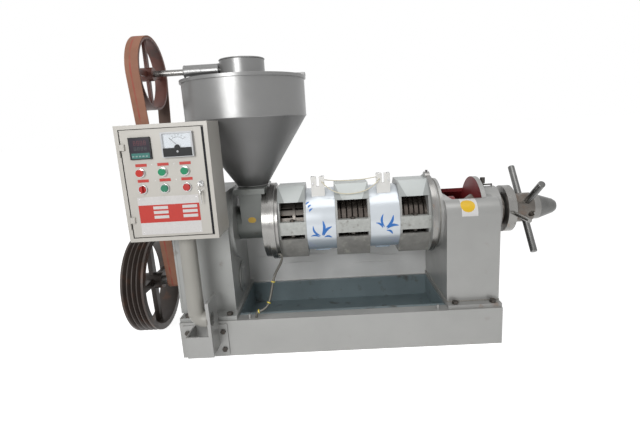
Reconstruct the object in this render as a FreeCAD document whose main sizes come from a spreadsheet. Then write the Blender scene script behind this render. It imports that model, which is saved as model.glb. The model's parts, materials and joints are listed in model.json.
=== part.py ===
"""Screw oil press with hopper, gearbox, heated press cage and control box, as a parametric assembly.

Row frame, in millimetres: origin at floor level in the centre of the base's foundation bolts, +X along the
press screw towards the adjusting handles, +Y to the back, +Z up.
"""
import FreeCAD, Part
import math
import os
import Sketcher

Vector = FreeCAD.Vector
Rotation = FreeCAD.Rotation
Placement = FreeCAD.Placement

doc = FreeCAD.newDocument("screw_oil_press")

# Driving dimensions, in millimetres, degrees or counts.
DIMENSIONS = {
    # base frame and oil tray
    "base_length": 1252, "base_width": 446, "base_height": 148,
    "web_wall": 7, "flange_wall": 10, "flange_width": 60,
    "tray_left": -400, "tray_right": 421, "tray_depth": 92, "tray_wall": 2, "tray_lip": 12,
    "tray_gap": 2, "drain_bore": 10, "drain_wall": 4, "drain_reach": 18, "drain_shift": 90,
    "foundation_x": 560, "foundation_y": 193, "foundation_bore": 9,
    "peg_radius": 5, "peg_height": 16, "peg_left": -352, "peg_right": 383, "peg_shift": 204,
    "foot_wall": 15, "foot_reach": 214, "foot_bolt_inset": 30, "foot_bolt_y": 197, "foot_bolt_radius": 8,
    "bolt_gap": 1,
    "foot_head_radius": 13, "foot_head_height": 10,
    # shaft lines
    "screw_height": 488, "input_height": 250, "fit_gap": 0.05, "seat_gap": 0.3,
    # gearbox
    "gearbox_left": -624, "gearbox_right": -411, "gearbox_width": 330, "gearbox_top": 642,
    "gearbox_wall": 14, "gearbox_round": 14, "cover_wall": 10, "bearing_width": 25,
    "bearing_stop": 3, "boss_wall": 10, "screw_flange_radius": 146, "screw_flange_wall": 15,
    "cap_radius": 64, "cap_wall": 12,
    "input_shaft_radius": 20, "input_bearing_radius": 40,
    "middle_shaft_radius": 22, "middle_bearing_radius": 42,
    "screw_shaft_radius": 35, "screw_bearing_radius": 62,
    "fast_module": 4, "fast_pinion_teeth": 14, "fast_gear_teeth": 42, "fast_face": 32, "fast_left": -590,
    "slow_module": 5, "slow_pinion_teeth": 13, "slow_gear_teeth": 42, "slow_face": 48, "slow_left": -530,
    "tooth_play": 0.35, "shaft_step": 5,
    # belt drive
    "sheave_radius": 210, "sheave_left": -846, "sheave_width": 90, "groove_count": 4, "groove_pitch": 19,
    "groove_depth": 14, "groove_mouth": 8, "sheave_rim_wall": 12, "sheave_hub_radius": 34,
    "spoke_count": 4, "spoke_width": 34, "spoke_wall": 20,
    "flat_belt_width": 50, "flat_belt_left": -729, "belt_wall": 5, "belt_gap": 0.4,
    "drive_pulley_radius": 25, "feeder_pulley_radius": 137, "bevel_reach": 30,
    "feeder_rim_wall": 7, "feeder_hub_radius": 26, "feeder_spoke_width": 22, "feeder_spoke_wall": 12,
    "feeder_shaft_radius": 12, "feeder_tube_radius": 25, "feeder_tube_wall": 8,
    "feeder_tube_left": -557, "feeder_tube_right": -418,
    # hopper and feeder
    "hopper_x": -328, "hopper_radius": 239, "hopper_rim": 1066, "hopper_knee": 915, "hopper_wall": 2,
    "hopper_foot_radius": 60, "hopper_bead": 6, "crossbar_width": 60, "crossbar_wall": 10,
    "case_radius": 87, "case_rise": 35, "case_wall": 4,
    "bevel_module": 3, "bevel_teeth": 16, "bevel_face": 12, "bevel_play": 0.5,
    "stirrer_radius": 12, "stirrer_foot": 562, "stirrer_arm_radius": 6,
    "stirrer_high": 900, "stirrer_high_reach": 170, "stirrer_low": 790, "stirrer_low_reach": 95,
    "stirrer_blade_reach": 38, "stirrer_blade_wall": 6, "stirrer_blade_height": 90,
    # feed housing
    "feed_plate_length": 122, "feed_plate_width": 220, "feed_plate_wall": 22, "feed_top": 643,
    "throat_half_top": 92, "throat_half_low": 70, "throat_left": -374, "inlet_radius": 50,
    "barrel_radius": 70, "barrel_bore": 53, "feed_flange_left": -283, "feed_flange_right": -255,
    "feed_flange_radius": 150,
    # press cage
    "cage_left": -255, "cage_right": 398, "cage_flange_radius": 160, "cage_left_flange": 21,
    "cage_left_ring": 12, "cage_left_ring_radius": 148, "cage_right_flange": 20,
    "band_left": -111, "band_width": 117, "band_shift": 252, "rib_radius": 124.5, "band_wall": 4.9,
    "ring_radius": 92, "ring_bore": 51, "strip_reach": 125, "strip_width": 25,
    "strip_top": 504, "strip_bottom": 452,
    "roof_half": 52, "roof_height": 149, "roof_wall": 14, "shoulder_reach": 108, "shoulder_height": 92,
    "floor_half": 60, "floor_depth": 145, "hip_reach": 118, "hip_depth": 54,
    "cage_bore": 52, "end_web": 8, "hip_width": 18, "cage_lug_height": 144, "cage_lug_radius": 28,
    "window_ring_count": 6, "ring_groove": 7, "ring_notch": 3, "bar_count": 18, "bar_foot": 17,
    "bar_width": 22, "bar_bottom": 52, "bar_top": 91.2, "bar_right": -80, "bar_band_left": -166,
    "bar_band_width": 12, "bar_band_bore": 92.2, "bar_band_radius": 99,
    "cage_bolt_radius": 6, "cage_head_radius": 10, "cage_head_height": 8, "cage_screw_radius": 3,
    "band_inset": 0.5, "band_lug_width": 60, "band_lug_height": 8, "band_lug_reach": 8,
    # screw
    "root_radius": 34, "flight_radius": 49.5, "flight_wall": 12, "worm_left": -392, "worm_pitch": 92,
    "worm_count": 8, "worm_end": 430, "worm_end_radius": 48, "tail_radius": 30, 
    # bearing post and adjusting end
    "post_left": 424, "post_right": 626, "post_half": 180, "post_top": 562, "post_wall": 16,
    "post_shoulder": 55, "post_flange_left": 398, "post_flange_radius": 142, "arch_radius": 140,
    "post_window_left": 458, "post_window_right": 574, "cheek_wall": 18, "outlet_right": 500,
    "outlet_radius": 62, "boss_radius": 97, "boss_right": 666, "sleeve_radius": 66,
    "sleeve_nose": 530, "sleeve_nose_radius": 38, "sleeve_shoulder": 572, "sleeve_chamber": 600,
    "sleeve_thread": 86, "sleeve_gap": 1, "thrust_wall": 24, "neck_gap": 12, "nut_gap": 6,
    "nut_wall": 34, "nut_radius": 96, "lever_radius": 8,
    "lever_reach": 232, "screw_neck_radius": 45, "hub_gap": 17, "hub_length": 68, "hub_radius": 60,
    "collar_length": 29, "collar_radius": 51, "nose_length": 75, "nose_radius": 26, "nose_round": 12,
    "handle_inset": 41, "handle_radius": 13.5, "handle_reach": 197, "handle_tilt": 52.5,
    "spare_hole_inset": 55, "spare_hole_depth": 22,
    "grease_x": 618, "grease_low": 598, "grease_radius": 10, "grease_height": 24, "grease_stem_radius": 5,
    "grease_pipe_radius": 3, "grease_pipe_right": 658, "grease_pipe_height": 592,
    # control box, on its conduit
    "box_left": -690, "box_width": 301, "box_front": -379, "box_depth": 148, "box_bottom": 525,
    "box_height": 384, "box_wall": 1.5, "box_lip": 13, "door_gap": 2, "door_wall": 2, "door_recess": 3,
    "hinge_radius": 3, "hinge_pin": 1.5, "hinge_leaf": 18, "hinge_high": 830, "hinge_low": 590,
    "knuckle": 20, "conduit_x": -528, "conduit_y": -294, "conduit_radius": 30, "conduit_wall": 4,
    "conduit_bend": 32, "conduit_height": 196, "fin_left": -484, "fin_wall": 12, "fin_top": 268,
    "bracket_left": -614, "bracket_side": -570, "bracket_right": -439, "bracket_reach": 103,
    "bracket_wall": 6, "bracket_top": 138, "bracket_low": 10, "bracket_lift": 55,
    "bracket_bolt_left": -596,
    "bracket_bolt_radius": 7, "bracket_bolt_right": -456,
    "bracket_bolt_low": 33, "bracket_bolt_high": 108, "bracket_head_radius": 11, "bracket_head_height": 6,
    "panel_inset": 25, "panel_wall": 2, "panel_stand": 10, "panel_stud": 4, "contactor_left": -650,
    "contactor_width": 45, "contactor_pitch": 60, "contactor_low": 580, "contactor_height": 80,
    "contactor_depth": 70, "breaker_left": -500, "breaker_width": 54, "controller_left": -647,
    "controller_low": 799,
    "controller_size": 71, "controller_depth": 80, "cutout_inset": 3, "bezel_stand": 6,
    "meter_left": -539, "meter_low": 801,
    "meter_width": 101, "meter_height": 80, "meter_depth": 40, "meter_stand": 14, "meter_cover": 30,
    "meter_rim": 5, "meter_hollow": 9, "meter_body": 30, "needle_length": 36, "needle_width": 1.6,
    "needle_wall": 1, "needle_rise": 36, "needle_pin": 1.5, "needle_hub": 4, "lamp_row": 756,
    "button_row": 702, "button_left": -622,
    "button_pitch": 73, "bezel_radius": 15, "bezel_bore": 12, "bezel_wall": 7, "cap_gap": 0.4,
    "bezel_floor": 1, "bezel_barrel": 11, "bezel_depth": 34, "button_stand": 12, "button_cap": 6,
    "button_travel": 4, "button_stem": 5, "lamp_stand": 15, "knob_stand": 18, "knob_grip": 6,
    "lock_x": -430, "lock_height": 712, "lock_radius": 10, "lock_barrel": 8, "lock_stand": 5,
    "lock_depth": 18, "lock_cam": 34, "cam_width": 12, "cam_wall": 3, "key_bow": 10, "key_wall": 2,
    "key_shank": 12, "key_hole": 2, "key_ring": 11, "key_wire": 0.8, "key_blade": 6, "key_length": 26,
    # heater leads, sensor lead and splash guard
    "terminal_left": -58, "terminal_right": 202, "terminal_half": 27, "terminal_gap": 10,
    "terminal_front": 75, "terminal_back": 45, "terminal_base": 632, "terminal_top": 672,
    "link_radius": 2, "lead_radius": 5, "tie_radius": 8, "tie_width": 4,
    "guard_shift": 186, "guard_wall": 2, "guard_crease": 6, "guard_mid": 250, "guard_high": 372,
    "guard_low": 331,
}

sheet = doc.addObject("Spreadsheet::Sheet", "Sizes")
for row, (alias, amount) in enumerate(DIMENSIONS.items(), start=1):
    sheet.set(f"A{row}", alias)
    sheet.set(f"B{row}", str(amount))
    sheet.setAlias(f"B{row}", alias)
doc.recompute()


class Size:
    """A length or angle: its number now, and the formula over the sheet that keeps it up to date."""

    def __init__(self, amount, formula):
        self.amount = amount
        self.formula = formula

    def __add__(self, other):
        return Size(self.amount + number(other), f"({self.formula} + {formula(other)})")

    def __radd__(self, other):
        return as_size(other) + self

    def __sub__(self, other):
        return Size(self.amount - number(other), f"({self.formula} - {formula(other)})")

    def __rsub__(self, other):
        return as_size(other) - self

    def __mul__(self, other):
        return Size(self.amount * number(other), f"({self.formula} * {formula(other)})")

    __rmul__ = __mul__

    def __truediv__(self, other):
        return Size(self.amount / number(other), f"({self.formula} / {formula(other)})")

    def __neg__(self):
        return Size(-self.amount, f"(0 - {self.formula})")


def number(value):
    return value.amount if isinstance(value, Size) else float(value)


def formula(value):
    return value.formula if isinstance(value, Size) else f"({float(value):.6f})"


def as_size(value):
    return value if isinstance(value, Size) else Size(float(value), formula(value))


def root(value):
    return Size(math.sqrt(value.amount), f"sqrt({value.formula})")


class Sheet:
    """Reads a driving dimension by its alias."""

    def __getattr__(self, alias):
        return Size(float(sheet.get(alias)), f"Sizes.{alias}")


S = Sheet()

# Rotations that turn a primitive's own +Z to the named axis.
TURN = {
    "X": Rotation(Vector(0, 1, 0), 90),
    "Y": Rotation(Vector(1, 0, 0), -90),
    "Z": Rotation(),
    "-X": Rotation(Vector(0, 1, 0), -90),
    "-Y": Rotation(Vector(1, 0, 0), 90),
    "-Z": Rotation(Vector(1, 0, 0), 180),
}
# Sketch planes: origin plane, the rotation of a sketch on it and the world axes of its two coordinates.
PLANE_ROLE = {"XY": "XY_Plane", "XZ": "XZ_Plane", "YZ": "YZ_Plane"}


def bind(obj, prop, value):
    """Give a property its number, and its formula if it has one."""
    setattr(obj, prop, number(value))
    if isinstance(value, Size):
        obj.setExpression(prop, value.formula)


def place(obj, at, turn=Rotation()):
    obj.Placement = Placement(Vector(*[number(v) for v in at]), turn)
    for name, value in zip("xyz", at):
        if isinstance(value, Size):
            obj.setExpression(f"Placement.Base.{name}", value.formula)


class Piece:
    """A PartDesign body built from blocks, rods and sketched features."""

    def __init__(self, label):
        self.label = label
        self.body = doc.addObject("PartDesign::Body", label)
        self.body.AllowCompound = True
        self.count = 0

    def feature(self, kind):
        self.count += 1
        return self.body.newObject(f"PartDesign::{kind}", f"{self.label}_{self.count}")

    def block(self, x, y, z, cut=False):
        """A box between two values on each axis."""
        made = self.feature("SubtractiveBox" if cut else "AdditiveBox")
        bind(made, "Length", x[1] - x[0])
        bind(made, "Width", y[1] - y[0])
        bind(made, "Height", z[1] - z[0])
        place(made, (x[0], y[0], z[0]))
        return self

    def rod(self, axis, start, length, radius, cut=False):
        """A cylinder from its start point along an axis."""
        made = self.feature("SubtractiveCylinder" if cut else "AdditiveCylinder")
        bind(made, "Radius", radius)
        bind(made, "Height", length)
        place(made, start, TURN[axis] if isinstance(axis, str) else axis)
        return self

    def cone(self, axis, start, length, near, far, cut=False):
        made = self.feature("SubtractiveCone" if cut else "AdditiveCone")
        bind(made, "Radius1", near)
        bind(made, "Radius2", far)
        bind(made, "Height", length)
        place(made, start, TURN[axis] if isinstance(axis, str) else axis)
        return self

    def sketch(self, plane, outlines, offset=0):
        """Closed outlines of straight edges; every corner is held by its two coordinates."""
        drawn = self.body.newObject("Sketcher::SketchObject", f"{self.label}_sketch_{self.count}")
        role = PLANE_ROLE[plane]
        origin = next(o for o in self.body.Origin.OriginFeatures if o.Role == role)
        drawn.AttachmentSupport = [(origin, "")]
        drawn.MapMode = "FlatFace"
        drawn.AttachmentOffset = Placement(Vector(0, 0, number(offset)), Rotation())
        if isinstance(offset, Size):
            drawn.setExpression("AttachmentOffset.Base.z", offset.formula)
        for outline in outlines:
            draw_outline(drawn, outline)
        return drawn

    def pad(self, plane, outline, start, length, cut=False):
        """An outline on a plane through the given offset, pushed along the plane's normal."""
        drawn = self.sketch(plane, [outline], start)
        made = self.feature("Pocket" if cut else "Pad")
        made.Profile = drawn
        bind(made, "Length", length)
        made.Reversed = cut
        return self

    def turned(self, outline, cut=False):
        """An outline of (along, radius) corners, turned about the body's own X axis."""
        drawn = self.sketch("XY", [outline])
        made = self.feature("Groove" if cut else "Revolution")
        made.Profile = drawn
        made.ReferenceAxis = (drawn, ["H_Axis"])
        made.Angle = 360
        return self

    def around(self, axis, count, feature_count=1):
        """Repeat the last features evenly about the body's own axis."""
        made = self.body.newObject("PartDesign::PolarPattern", f"{self.label}_ring_{self.count}")
        made.Originals = self.body.Group[-1 - feature_count:-1]
        origin = next(o for o in self.body.Origin.OriginFeatures if o.Role == f"{axis}_Axis")
        made.Axis = (origin, [""])
        made.Angle = 360
        made.Occurrences = int(number(count))
        if isinstance(count, Size):
            made.setExpression("Occurrences", count.formula)
        self.body.Tip = made
        return self

    def round(self, radius, choose):
        """Fillet the edges of the shape so far that the chooser accepts."""
        doc.recompute()
        tip = self.body.Tip
        names = [f"Edge{i + 1}" for i, edge in enumerate(tip.Shape.Edges) if choose(edge)]
        made = self.feature("Fillet")
        made.Base = (tip, names)
        bind(made, "Radius", radius)
        return self

    def place(self, at, turn=Rotation()):
        place(self.body, at, turn)
        return self


def draw_outline(drawn, outline):
    points = [Vector(number(a), number(b), 0) for a, b in outline]
    first = drawn.GeometryCount
    count = len(points)
    for i, point in enumerate(points):
        drawn.addGeometry(Part.LineSegment(point, points[(i + 1) % count]), False)
    for i in range(count):
        drawn.addConstraint(Sketcher.Constraint("Coincident", first + i, 2, first + (i + 1) % count, 1))
    for i, (along, across) in enumerate(outline):
        hold(drawn, "DistanceX", first + i, along)
        hold(drawn, "DistanceY", first + i, across)


def hold(drawn, kind, corner, value):
    """Hold a corner's coordinate at its value, or on the axis where it is zero."""
    if not isinstance(value, Size) and float(value) == 0.0:
        axis = -2 if kind == "DistanceX" else -1
        drawn.addConstraint(Sketcher.Constraint("PointOnObject", corner, 1, axis))
        return
    index = drawn.addConstraint(Sketcher.Constraint(kind, -1, 1, corner, 1, number(value)))
    if isinstance(value, Size):
        drawn.setExpression(f"Constraints[{index}]", value.formula)


def primitive(kind, name, at, turn="Z", **sizes):
    made = doc.addObject(f"Part::{kind}", name)
    for prop, value in sizes.items():
        bind(made, prop, value)
    place(made, at, TURN[turn] if isinstance(turn, str) else turn)
    return made


def join(name, pieces):
    made = doc.addObject("Part::MultiFuse", name)
    made.Shapes = pieces
    return made


def carve(name, base, tool):
    made = doc.addObject("Part::Cut", name)
    made.Base = base
    made.Tool = tool
    return made


def group(label, pieces):
    """Separate solids that share one node."""
    made = doc.addObject("Part::Compound", label)
    made.Links = pieces
    return made


def shaped(label, shape, at=(0, 0, 0), turn=Rotation()):
    """A feature whose shape is worked out here from the sheet's values."""
    made = doc.addObject("Part::Feature", label)
    made.Shape = shape
    made.Placement = Placement(Vector(*[number(v) for v in at]), turn)
    return made


def hex_bolt(name, at, turn, head_radius, head_height, shank_radius, shank_length):
    """A hexagon head with its shank going the other way from the seat point."""
    head = primitive("Prism", f"{name}_head", at, turn, Circumradius=head_radius, Height=head_height)
    back = f"-{turn}" if not turn.startswith("-") else turn[1:]
    shank = primitive("Cylinder", f"{name}_shank", at, back, Radius=shank_radius, Height=shank_length)
    return join(name, [head, shank])


# Places that several pieces share.
HALF_LENGTH = S.base_length / 2
HALF_WIDTH = S.base_width / 2
FLOOR = S.base_height + S.foot_wall
FAST_CENTRES = (S.fast_pinion_teeth + S.fast_gear_teeth) * S.fast_module / 2
SLOW_CENTRES = (S.slow_pinion_teeth + S.slow_gear_teeth) * S.slow_module / 2
LINE_DROP = S.screw_height - S.input_height
MIDDLE_RISE = (FAST_CENTRES * FAST_CENTRES + LINE_DROP * LINE_DROP
               - SLOW_CENTRES * SLOW_CENTRES) / (LINE_DROP * 2)
MIDDLE_Y = root(FAST_CENTRES * FAST_CENTRES - MIDDLE_RISE * MIDDLE_RISE)
MIDDLE_Z = S.input_height + MIDDLE_RISE
COVER_LEFT = S.gearbox_left - S.cover_wall
LEFT_SEAT = COVER_LEFT + S.bearing_stop
RIGHT_SEAT = S.gearbox_right - S.bearing_stop - S.bearing_width
FLANGE_FACE = S.gearbox_right + S.screw_flange_wall
# (axis y, axis z, shaft radius, bearing radius) of the three gearbox shafts
INPUT_LINE = (0, S.input_height, S.input_shaft_radius, S.input_bearing_radius)
MIDDLE_LINE = (MIDDLE_Y, MIDDLE_Z, S.middle_shaft_radius, S.middle_bearing_radius)
SCREW_LINE = (0, S.screw_height, S.screw_shaft_radius, S.screw_bearing_radius)
SHAFT_LINES = (INPUT_LINE, MIDDLE_LINE, SCREW_LINE)
BAND_RIGHT = S.band_left + S.band_width
WINDOWS = (
    (S.cage_left + S.cage_left_flange + S.cage_left_ring, S.band_left),
    (BAND_RIGHT, S.band_left + S.band_shift),
    (BAND_RIGHT + S.band_shift, S.cage_right - S.cage_right_flange),
)
STRIP_Y = S.strip_reach - S.strip_width / 2
DOOR_FRONT = S.box_front + S.door_recess
DOOR_BACK = DOOR_FRONT + S.door_wall
HINGE_X = S.box_left + S.box_lip - S.hinge_radius
HINGE_Y = S.box_front - S.hinge_radius - S.seat_gap
FEEDER_HEIGHT = S.hopper_rim + S.crossbar_wall + S.bevel_reach
CASE_TOP = FEEDER_HEIGHT + S.case_rise
TAIL_RIGHT = S.sleeve_chamber + S.thrust_wall
NECK_LEFT = TAIL_RIGHT + S.neck_gap
SLEEVE_RIGHT = S.sleeve_chamber + S.sleeve_thread
NUT_LEFT = SLEEVE_RIGHT + S.nut_gap
HUB_LEFT = NUT_LEFT + S.nut_wall + S.hub_gap
HUB_RIGHT = HUB_LEFT + S.hub_length
COLLAR_RIGHT = HUB_RIGHT + S.collar_length
NOSE_RIGHT = COLLAR_RIGHT + S.nose_length
HANDLE_X = HUB_LEFT + S.handle_inset
SPARE_HOLE_X = HUB_LEFT + S.spare_hole_inset
BASE_FOOT_X = (-HALF_LENGTH + S.foot_bolt_inset, S.tray_left - S.foot_bolt_inset)
POST_FOOT_X = (S.tray_right + S.foot_bolt_inset, HALF_LENGTH - S.foot_bolt_inset)


def toothed_outline(teeth, phase, flank):
    """Corners of a toothed outline; the flank lists (radius, half angle) from a tooth's foot to its tip."""
    corners = []
    for tooth in range(teeth):
        middle = phase + 2 * math.pi * tooth / teeth
        for radius, half in flank:
            corners.append((radius * math.cos(middle - half), radius * math.sin(middle - half)))
        for radius, half in reversed(flank):
            corners.append((radius * math.cos(middle + half), radius * math.sin(middle + half)))
    return corners


def spur_outline(module, teeth, play, phase):
    """A spur gear's outline with 20 degree involute flanks through foot, pitch circle and tip."""
    pitch = module * teeth / 2
    base = pitch * math.cos(math.radians(20))
    tip = pitch + 0.9 * module
    foot = pitch - 1.25 * module
    half = math.pi / (2 * teeth) - play / (2 * pitch)

    def involute(radius):
        angle = math.acos(min(1, base / radius))
        return math.tan(angle) - angle

    def half_angle(radius):
        return half + involute(pitch) - involute(max(radius, base))

    return toothed_outline(teeth, phase, [(radius, half_angle(radius)) for radius in (foot, pitch, tip)])


def spur_gear(module, teeth, play, phase, left, face, y, z):
    """A spur gear's solid on an axis along X; phase is the angle of a tooth's middle, from +Y towards +Z."""
    outline = spur_outline(module, teeth, play, phase)
    corners = [Vector(left, y + a, z + b) for a, b in outline]
    wire = Part.makePolygon(corners + corners[:1])
    return Part.Face(wire).extrude(Vector(face, 0, 0))


def bar_of(radius, x_from, x_to, y, z):
    return Part.makeCylinder(radius, x_to - x_from, Vector(x_from, y, z), Vector(1, 0, 0))


def base_frame():
    """Welded channel frame with cross plates at the tray's ends."""
    piece = Piece("base_frame")
    run = (-HALF_LENGTH, HALF_LENGTH)
    height = (0, S.base_height)
    for web, flange in (((-HALF_WIDTH, -HALF_WIDTH + S.web_wall), (-HALF_WIDTH,
                                                                   -HALF_WIDTH + S.flange_width)),
                        ((HALF_WIDTH - S.web_wall, HALF_WIDTH), (HALF_WIDTH - S.flange_width, HALF_WIDTH))):
        piece.block(run, web, height)
        piece.block(run, flange, (0, S.flange_wall))
        piece.block(run, flange, (S.base_height - S.flange_wall, S.base_height))
    across = (-HALF_WIDTH, HALF_WIDTH)
    for left in (-HALF_LENGTH, S.tray_left - S.web_wall, S.tray_right, HALF_LENGTH - S.web_wall):
        piece.block((left, left + S.web_wall), across, height)
    for x in (-S.foundation_x, S.foundation_x):
        for y in (-S.foundation_y, S.foundation_y):
            piece.rod("Z", (x, y, 0), S.flange_wall, S.foundation_bore, cut=True)
    for x in BASE_FOOT_X + POST_FOOT_X:
        for y in (-S.foot_bolt_y, S.foot_bolt_y):
            top = S.base_height - S.flange_wall
            piece.rod("Z", (x, y, top), S.flange_wall, S.foot_bolt_radius + S.bolt_gap, cut=True)
    for x in (S.bracket_bolt_left, S.bracket_bolt_right):
        for z in (S.bracket_bolt_low, S.bracket_bolt_high):
            piece.rod("Y", (x, -HALF_WIDTH, z), S.web_wall, S.bracket_bolt_radius + S.bolt_gap, cut=True)
    for x in (S.peg_left, S.peg_right):
        piece.rod("Z", (x, -S.peg_shift, S.base_height), S.peg_height, S.peg_radius)


def oil_tray():
    """Sheet pan hung by its lips between the channels, with a drain socket."""
    piece = Piece("oil_tray")
    x = (S.tray_left + S.tray_gap, S.tray_right - S.tray_gap)
    reach = HALF_WIDTH - S.flange_width - S.tray_gap
    low = S.base_height - S.tray_depth
    top = S.base_height + S.tray_wall
    drain = (S.tray_right - S.drain_shift, -S.drain_shift, low - S.drain_reach)
    piece.block(x, (-reach, reach), (low, top))
    piece.block(x, (-reach - S.tray_lip, reach + S.tray_lip), (S.base_height, top))
    piece.rod("Z", drain, S.drain_reach, S.drain_bore + S.drain_wall)
    inner_x = (x[0] + S.tray_wall, x[1] - S.tray_wall)
    inner_y = (-reach + S.tray_wall, reach - S.tray_wall)
    piece.block(inner_x, inner_y, (low + S.tray_wall, top), cut=True)
    piece.rod("Z", drain, S.drain_reach + S.tray_wall, S.drain_bore, cut=True)


def frame_bolts():
    """Hexagon bolts of the two feet and of the conduit bracket."""
    bolts = []
    for x in BASE_FOOT_X + POST_FOOT_X:
        for y in (-S.foot_bolt_y, S.foot_bolt_y):
            reach = S.foot_wall + S.flange_wall
            bolts.append(hex_bolt(f"foot_bolt_{len(bolts)}", (x, y, FLOOR), "Z", S.foot_head_radius,
                                  S.foot_head_height, S.foot_bolt_radius, reach))
    for x in (S.bracket_bolt_left, S.bracket_bolt_right):
        for z in (S.bracket_bolt_low, S.bracket_bolt_high):
            reach = S.bracket_wall + S.web_wall
            bolts.append(hex_bolt(f"bracket_bolt_{len(bolts)}", (x, -HALF_WIDTH - S.bracket_wall, z), "-Y",
                                  S.bracket_head_radius, S.bracket_head_height, S.bracket_bolt_radius,
                                  reach))
    group("frame_bolts", bolts)


def along_x_at(height):
    """Chooser of the straight edges along X at a height."""
    def choose(edge):
        box = edge.BoundBox
        level = abs(box.ZMin - number(height)) < 0.01 and box.ZLength < 0.01
        return level and box.XLength > 15 and box.YLength < 0.01
    return choose


def gearbox_housing():
    """Cast case, open to the left, with bearing seats in its right wall and the press flange outside it."""
    piece = Piece("gearbox_housing")
    half = S.gearbox_width / 2
    piece.block((S.gearbox_left, S.gearbox_right), (-half, half), (FLOOR, S.gearbox_top))
    piece.round(S.gearbox_round, along_x_at(S.gearbox_top))
    inside = S.gearbox_right - S.gearbox_wall
    piece.block((S.gearbox_left, inside), (-half + S.gearbox_wall, half - S.gearbox_wall),
                (FLOOR + S.gearbox_wall, S.gearbox_top - S.gearbox_wall), cut=True)
    piece.block((-HALF_LENGTH, S.tray_left), (-S.foot_reach, S.foot_reach), (S.base_height, FLOOR))
    for x in BASE_FOOT_X:
        for y in (-S.foot_bolt_y, S.foot_bolt_y):
            piece.rod("Z", (x, y, S.base_height), S.foot_wall, S.foot_bolt_radius + S.bolt_gap, cut=True)
    piece.rod("X", (S.gearbox_right, 0, S.screw_height), S.screw_flange_wall, S.screw_flange_radius)
    for y, z, shaft, bearing in SHAFT_LINES:
        piece.rod("X", (RIGHT_SEAT, y, z), inside - RIGHT_SEAT, bearing + S.boss_wall)
    for y, z, shaft, bearing in SHAFT_LINES:
        piece.rod("X", (RIGHT_SEAT, y, z), S.bearing_width, bearing, cut=True)
    seat_end = RIGHT_SEAT + S.bearing_width
    piece.rod("X", (seat_end, 0, S.input_height), S.bearing_stop, S.input_bearing_radius, cut=True)
    piece.rod("X", (seat_end, 0, S.screw_height), FLANGE_FACE - seat_end,
              S.screw_shaft_radius + S.bolt_gap, cut=True)


def gearbox_cover():
    """Left side plate with the bearing bosses inside it."""
    piece = Piece("gearbox_cover")
    half = S.gearbox_width / 2
    piece.block((COVER_LEFT, S.gearbox_left), (-half, half), (FLOOR, S.gearbox_top))
    chooser = along_x_at(S.gearbox_top)
    piece.round(S.gearbox_round, lambda edge: edge.BoundBox.ZMin > number(S.gearbox_top) - 0.01
                and edge.BoundBox.YLength < 0.01 and edge.BoundBox.XLength > 1 or chooser(edge))
    boss_end = LEFT_SEAT + S.bearing_width
    for y, z, shaft, bearing in SHAFT_LINES:
        piece.rod("X", (S.gearbox_left, y, z), boss_end - S.gearbox_left, bearing + S.boss_wall)
    for y, z, shaft, bearing in SHAFT_LINES:
        piece.rod("X", (LEFT_SEAT, y, z), S.bearing_width, bearing, cut=True)
    piece.rod("X", (COVER_LEFT, 0, S.input_height), S.bearing_stop, S.input_shaft_radius + S.bolt_gap,
              cut=True)


def ring(name, axis, at, length, outer, bore):
    body = primitive("Cylinder", f"{name}_body", at, axis, Radius=outer, Height=length)
    hole = primitive("Cylinder", f"{name}_hole", at, axis, Radius=bore, Height=length)
    return carve(name, body, hole)


def shaft_bearings():
    """Two bearings on each gearbox shaft and two in the feeder tube."""
    rings = []
    for y, z, shaft, bearing in SHAFT_LINES:
        for left in (LEFT_SEAT, RIGHT_SEAT):
            rings.append(ring(f"bearing_{len(rings)}", "X", (left, y, z), S.bearing_width,
                              bearing - S.fit_gap, shaft + S.fit_gap))
    for left in (S.feeder_tube_left, S.feeder_tube_right - S.feeder_tube_wall):
        rings.append(ring(f"bearing_{len(rings)}", "X", (left, 0, FEEDER_HEIGHT), S.feeder_tube_wall,
                          S.feeder_tube_radius - S.feeder_tube_wall - S.fit_gap,
                          S.feeder_shaft_radius + S.fit_gap))
    group("shaft_bearings", rings)


def input_bearing_cover():
    """Dished cap over the input shaft's right-hand bearing."""
    piece = Piece("input_bearing_cover")
    piece.turned([(0, 0), (S.cap_wall, 0), (S.cap_wall, S.input_bearing_radius),
                  (S.cap_wall / 2, S.input_bearing_radius + S.cap_wall / 2),
                  (S.cap_wall / 2, S.cap_radius), (0, S.cap_radius)])
    piece.place((S.gearbox_right, 0, S.input_height))


def input_shaft():
    """Input shaft with its pinion cut on it; a tooth points at the middle shaft."""
    phase = math.atan2(number(MIDDLE_RISE), number(MIDDLE_Y))
    z = number(S.input_height)
    left = number(S.sheave_left) - number(S.shaft_step)
    shaft = bar_of(number(S.input_shaft_radius), left, number(RIGHT_SEAT + S.bearing_width), 0, z)
    pinion = spur_gear(number(S.fast_module), int(number(S.fast_pinion_teeth)), number(S.tooth_play), phase,
                       number(S.fast_left), number(S.fast_face), 0, z)
    shaped("input_shaft", shaft.fuse(pinion))


def intermediate_shaft():
    """Middle shaft with the slow pinion cut on it; a tooth points at the screw shaft."""
    y = number(MIDDLE_Y)
    z = number(MIDDLE_Z)
    phase = math.atan2(number(S.screw_height) - z, -y)
    shaft = bar_of(number(S.middle_shaft_radius), number(LEFT_SEAT),
                   number(RIGHT_SEAT + S.bearing_width), y, z)
    pinion = spur_gear(number(S.slow_module), int(number(S.slow_pinion_teeth)), number(S.tooth_play), phase,
                       number(S.slow_left), number(S.slow_face), y, z)
    shaped("intermediate_shaft", shaft.fuse(pinion))


def wheel(label, module, teeth, toward, left, face, y, z, bore):
    """A toothed wheel with a tooth gap on the line of angle toward."""
    phase = toward + math.pi / number(teeth)
    solid = spur_gear(number(module), int(number(teeth)), number(S.tooth_play), phase, number(left),
                      number(face),
                      number(y), number(z))
    hole = bar_of(number(bore + S.fit_gap), number(left), number(left + face), number(y), number(z))
    shaped(label, solid.cut(hole))


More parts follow.
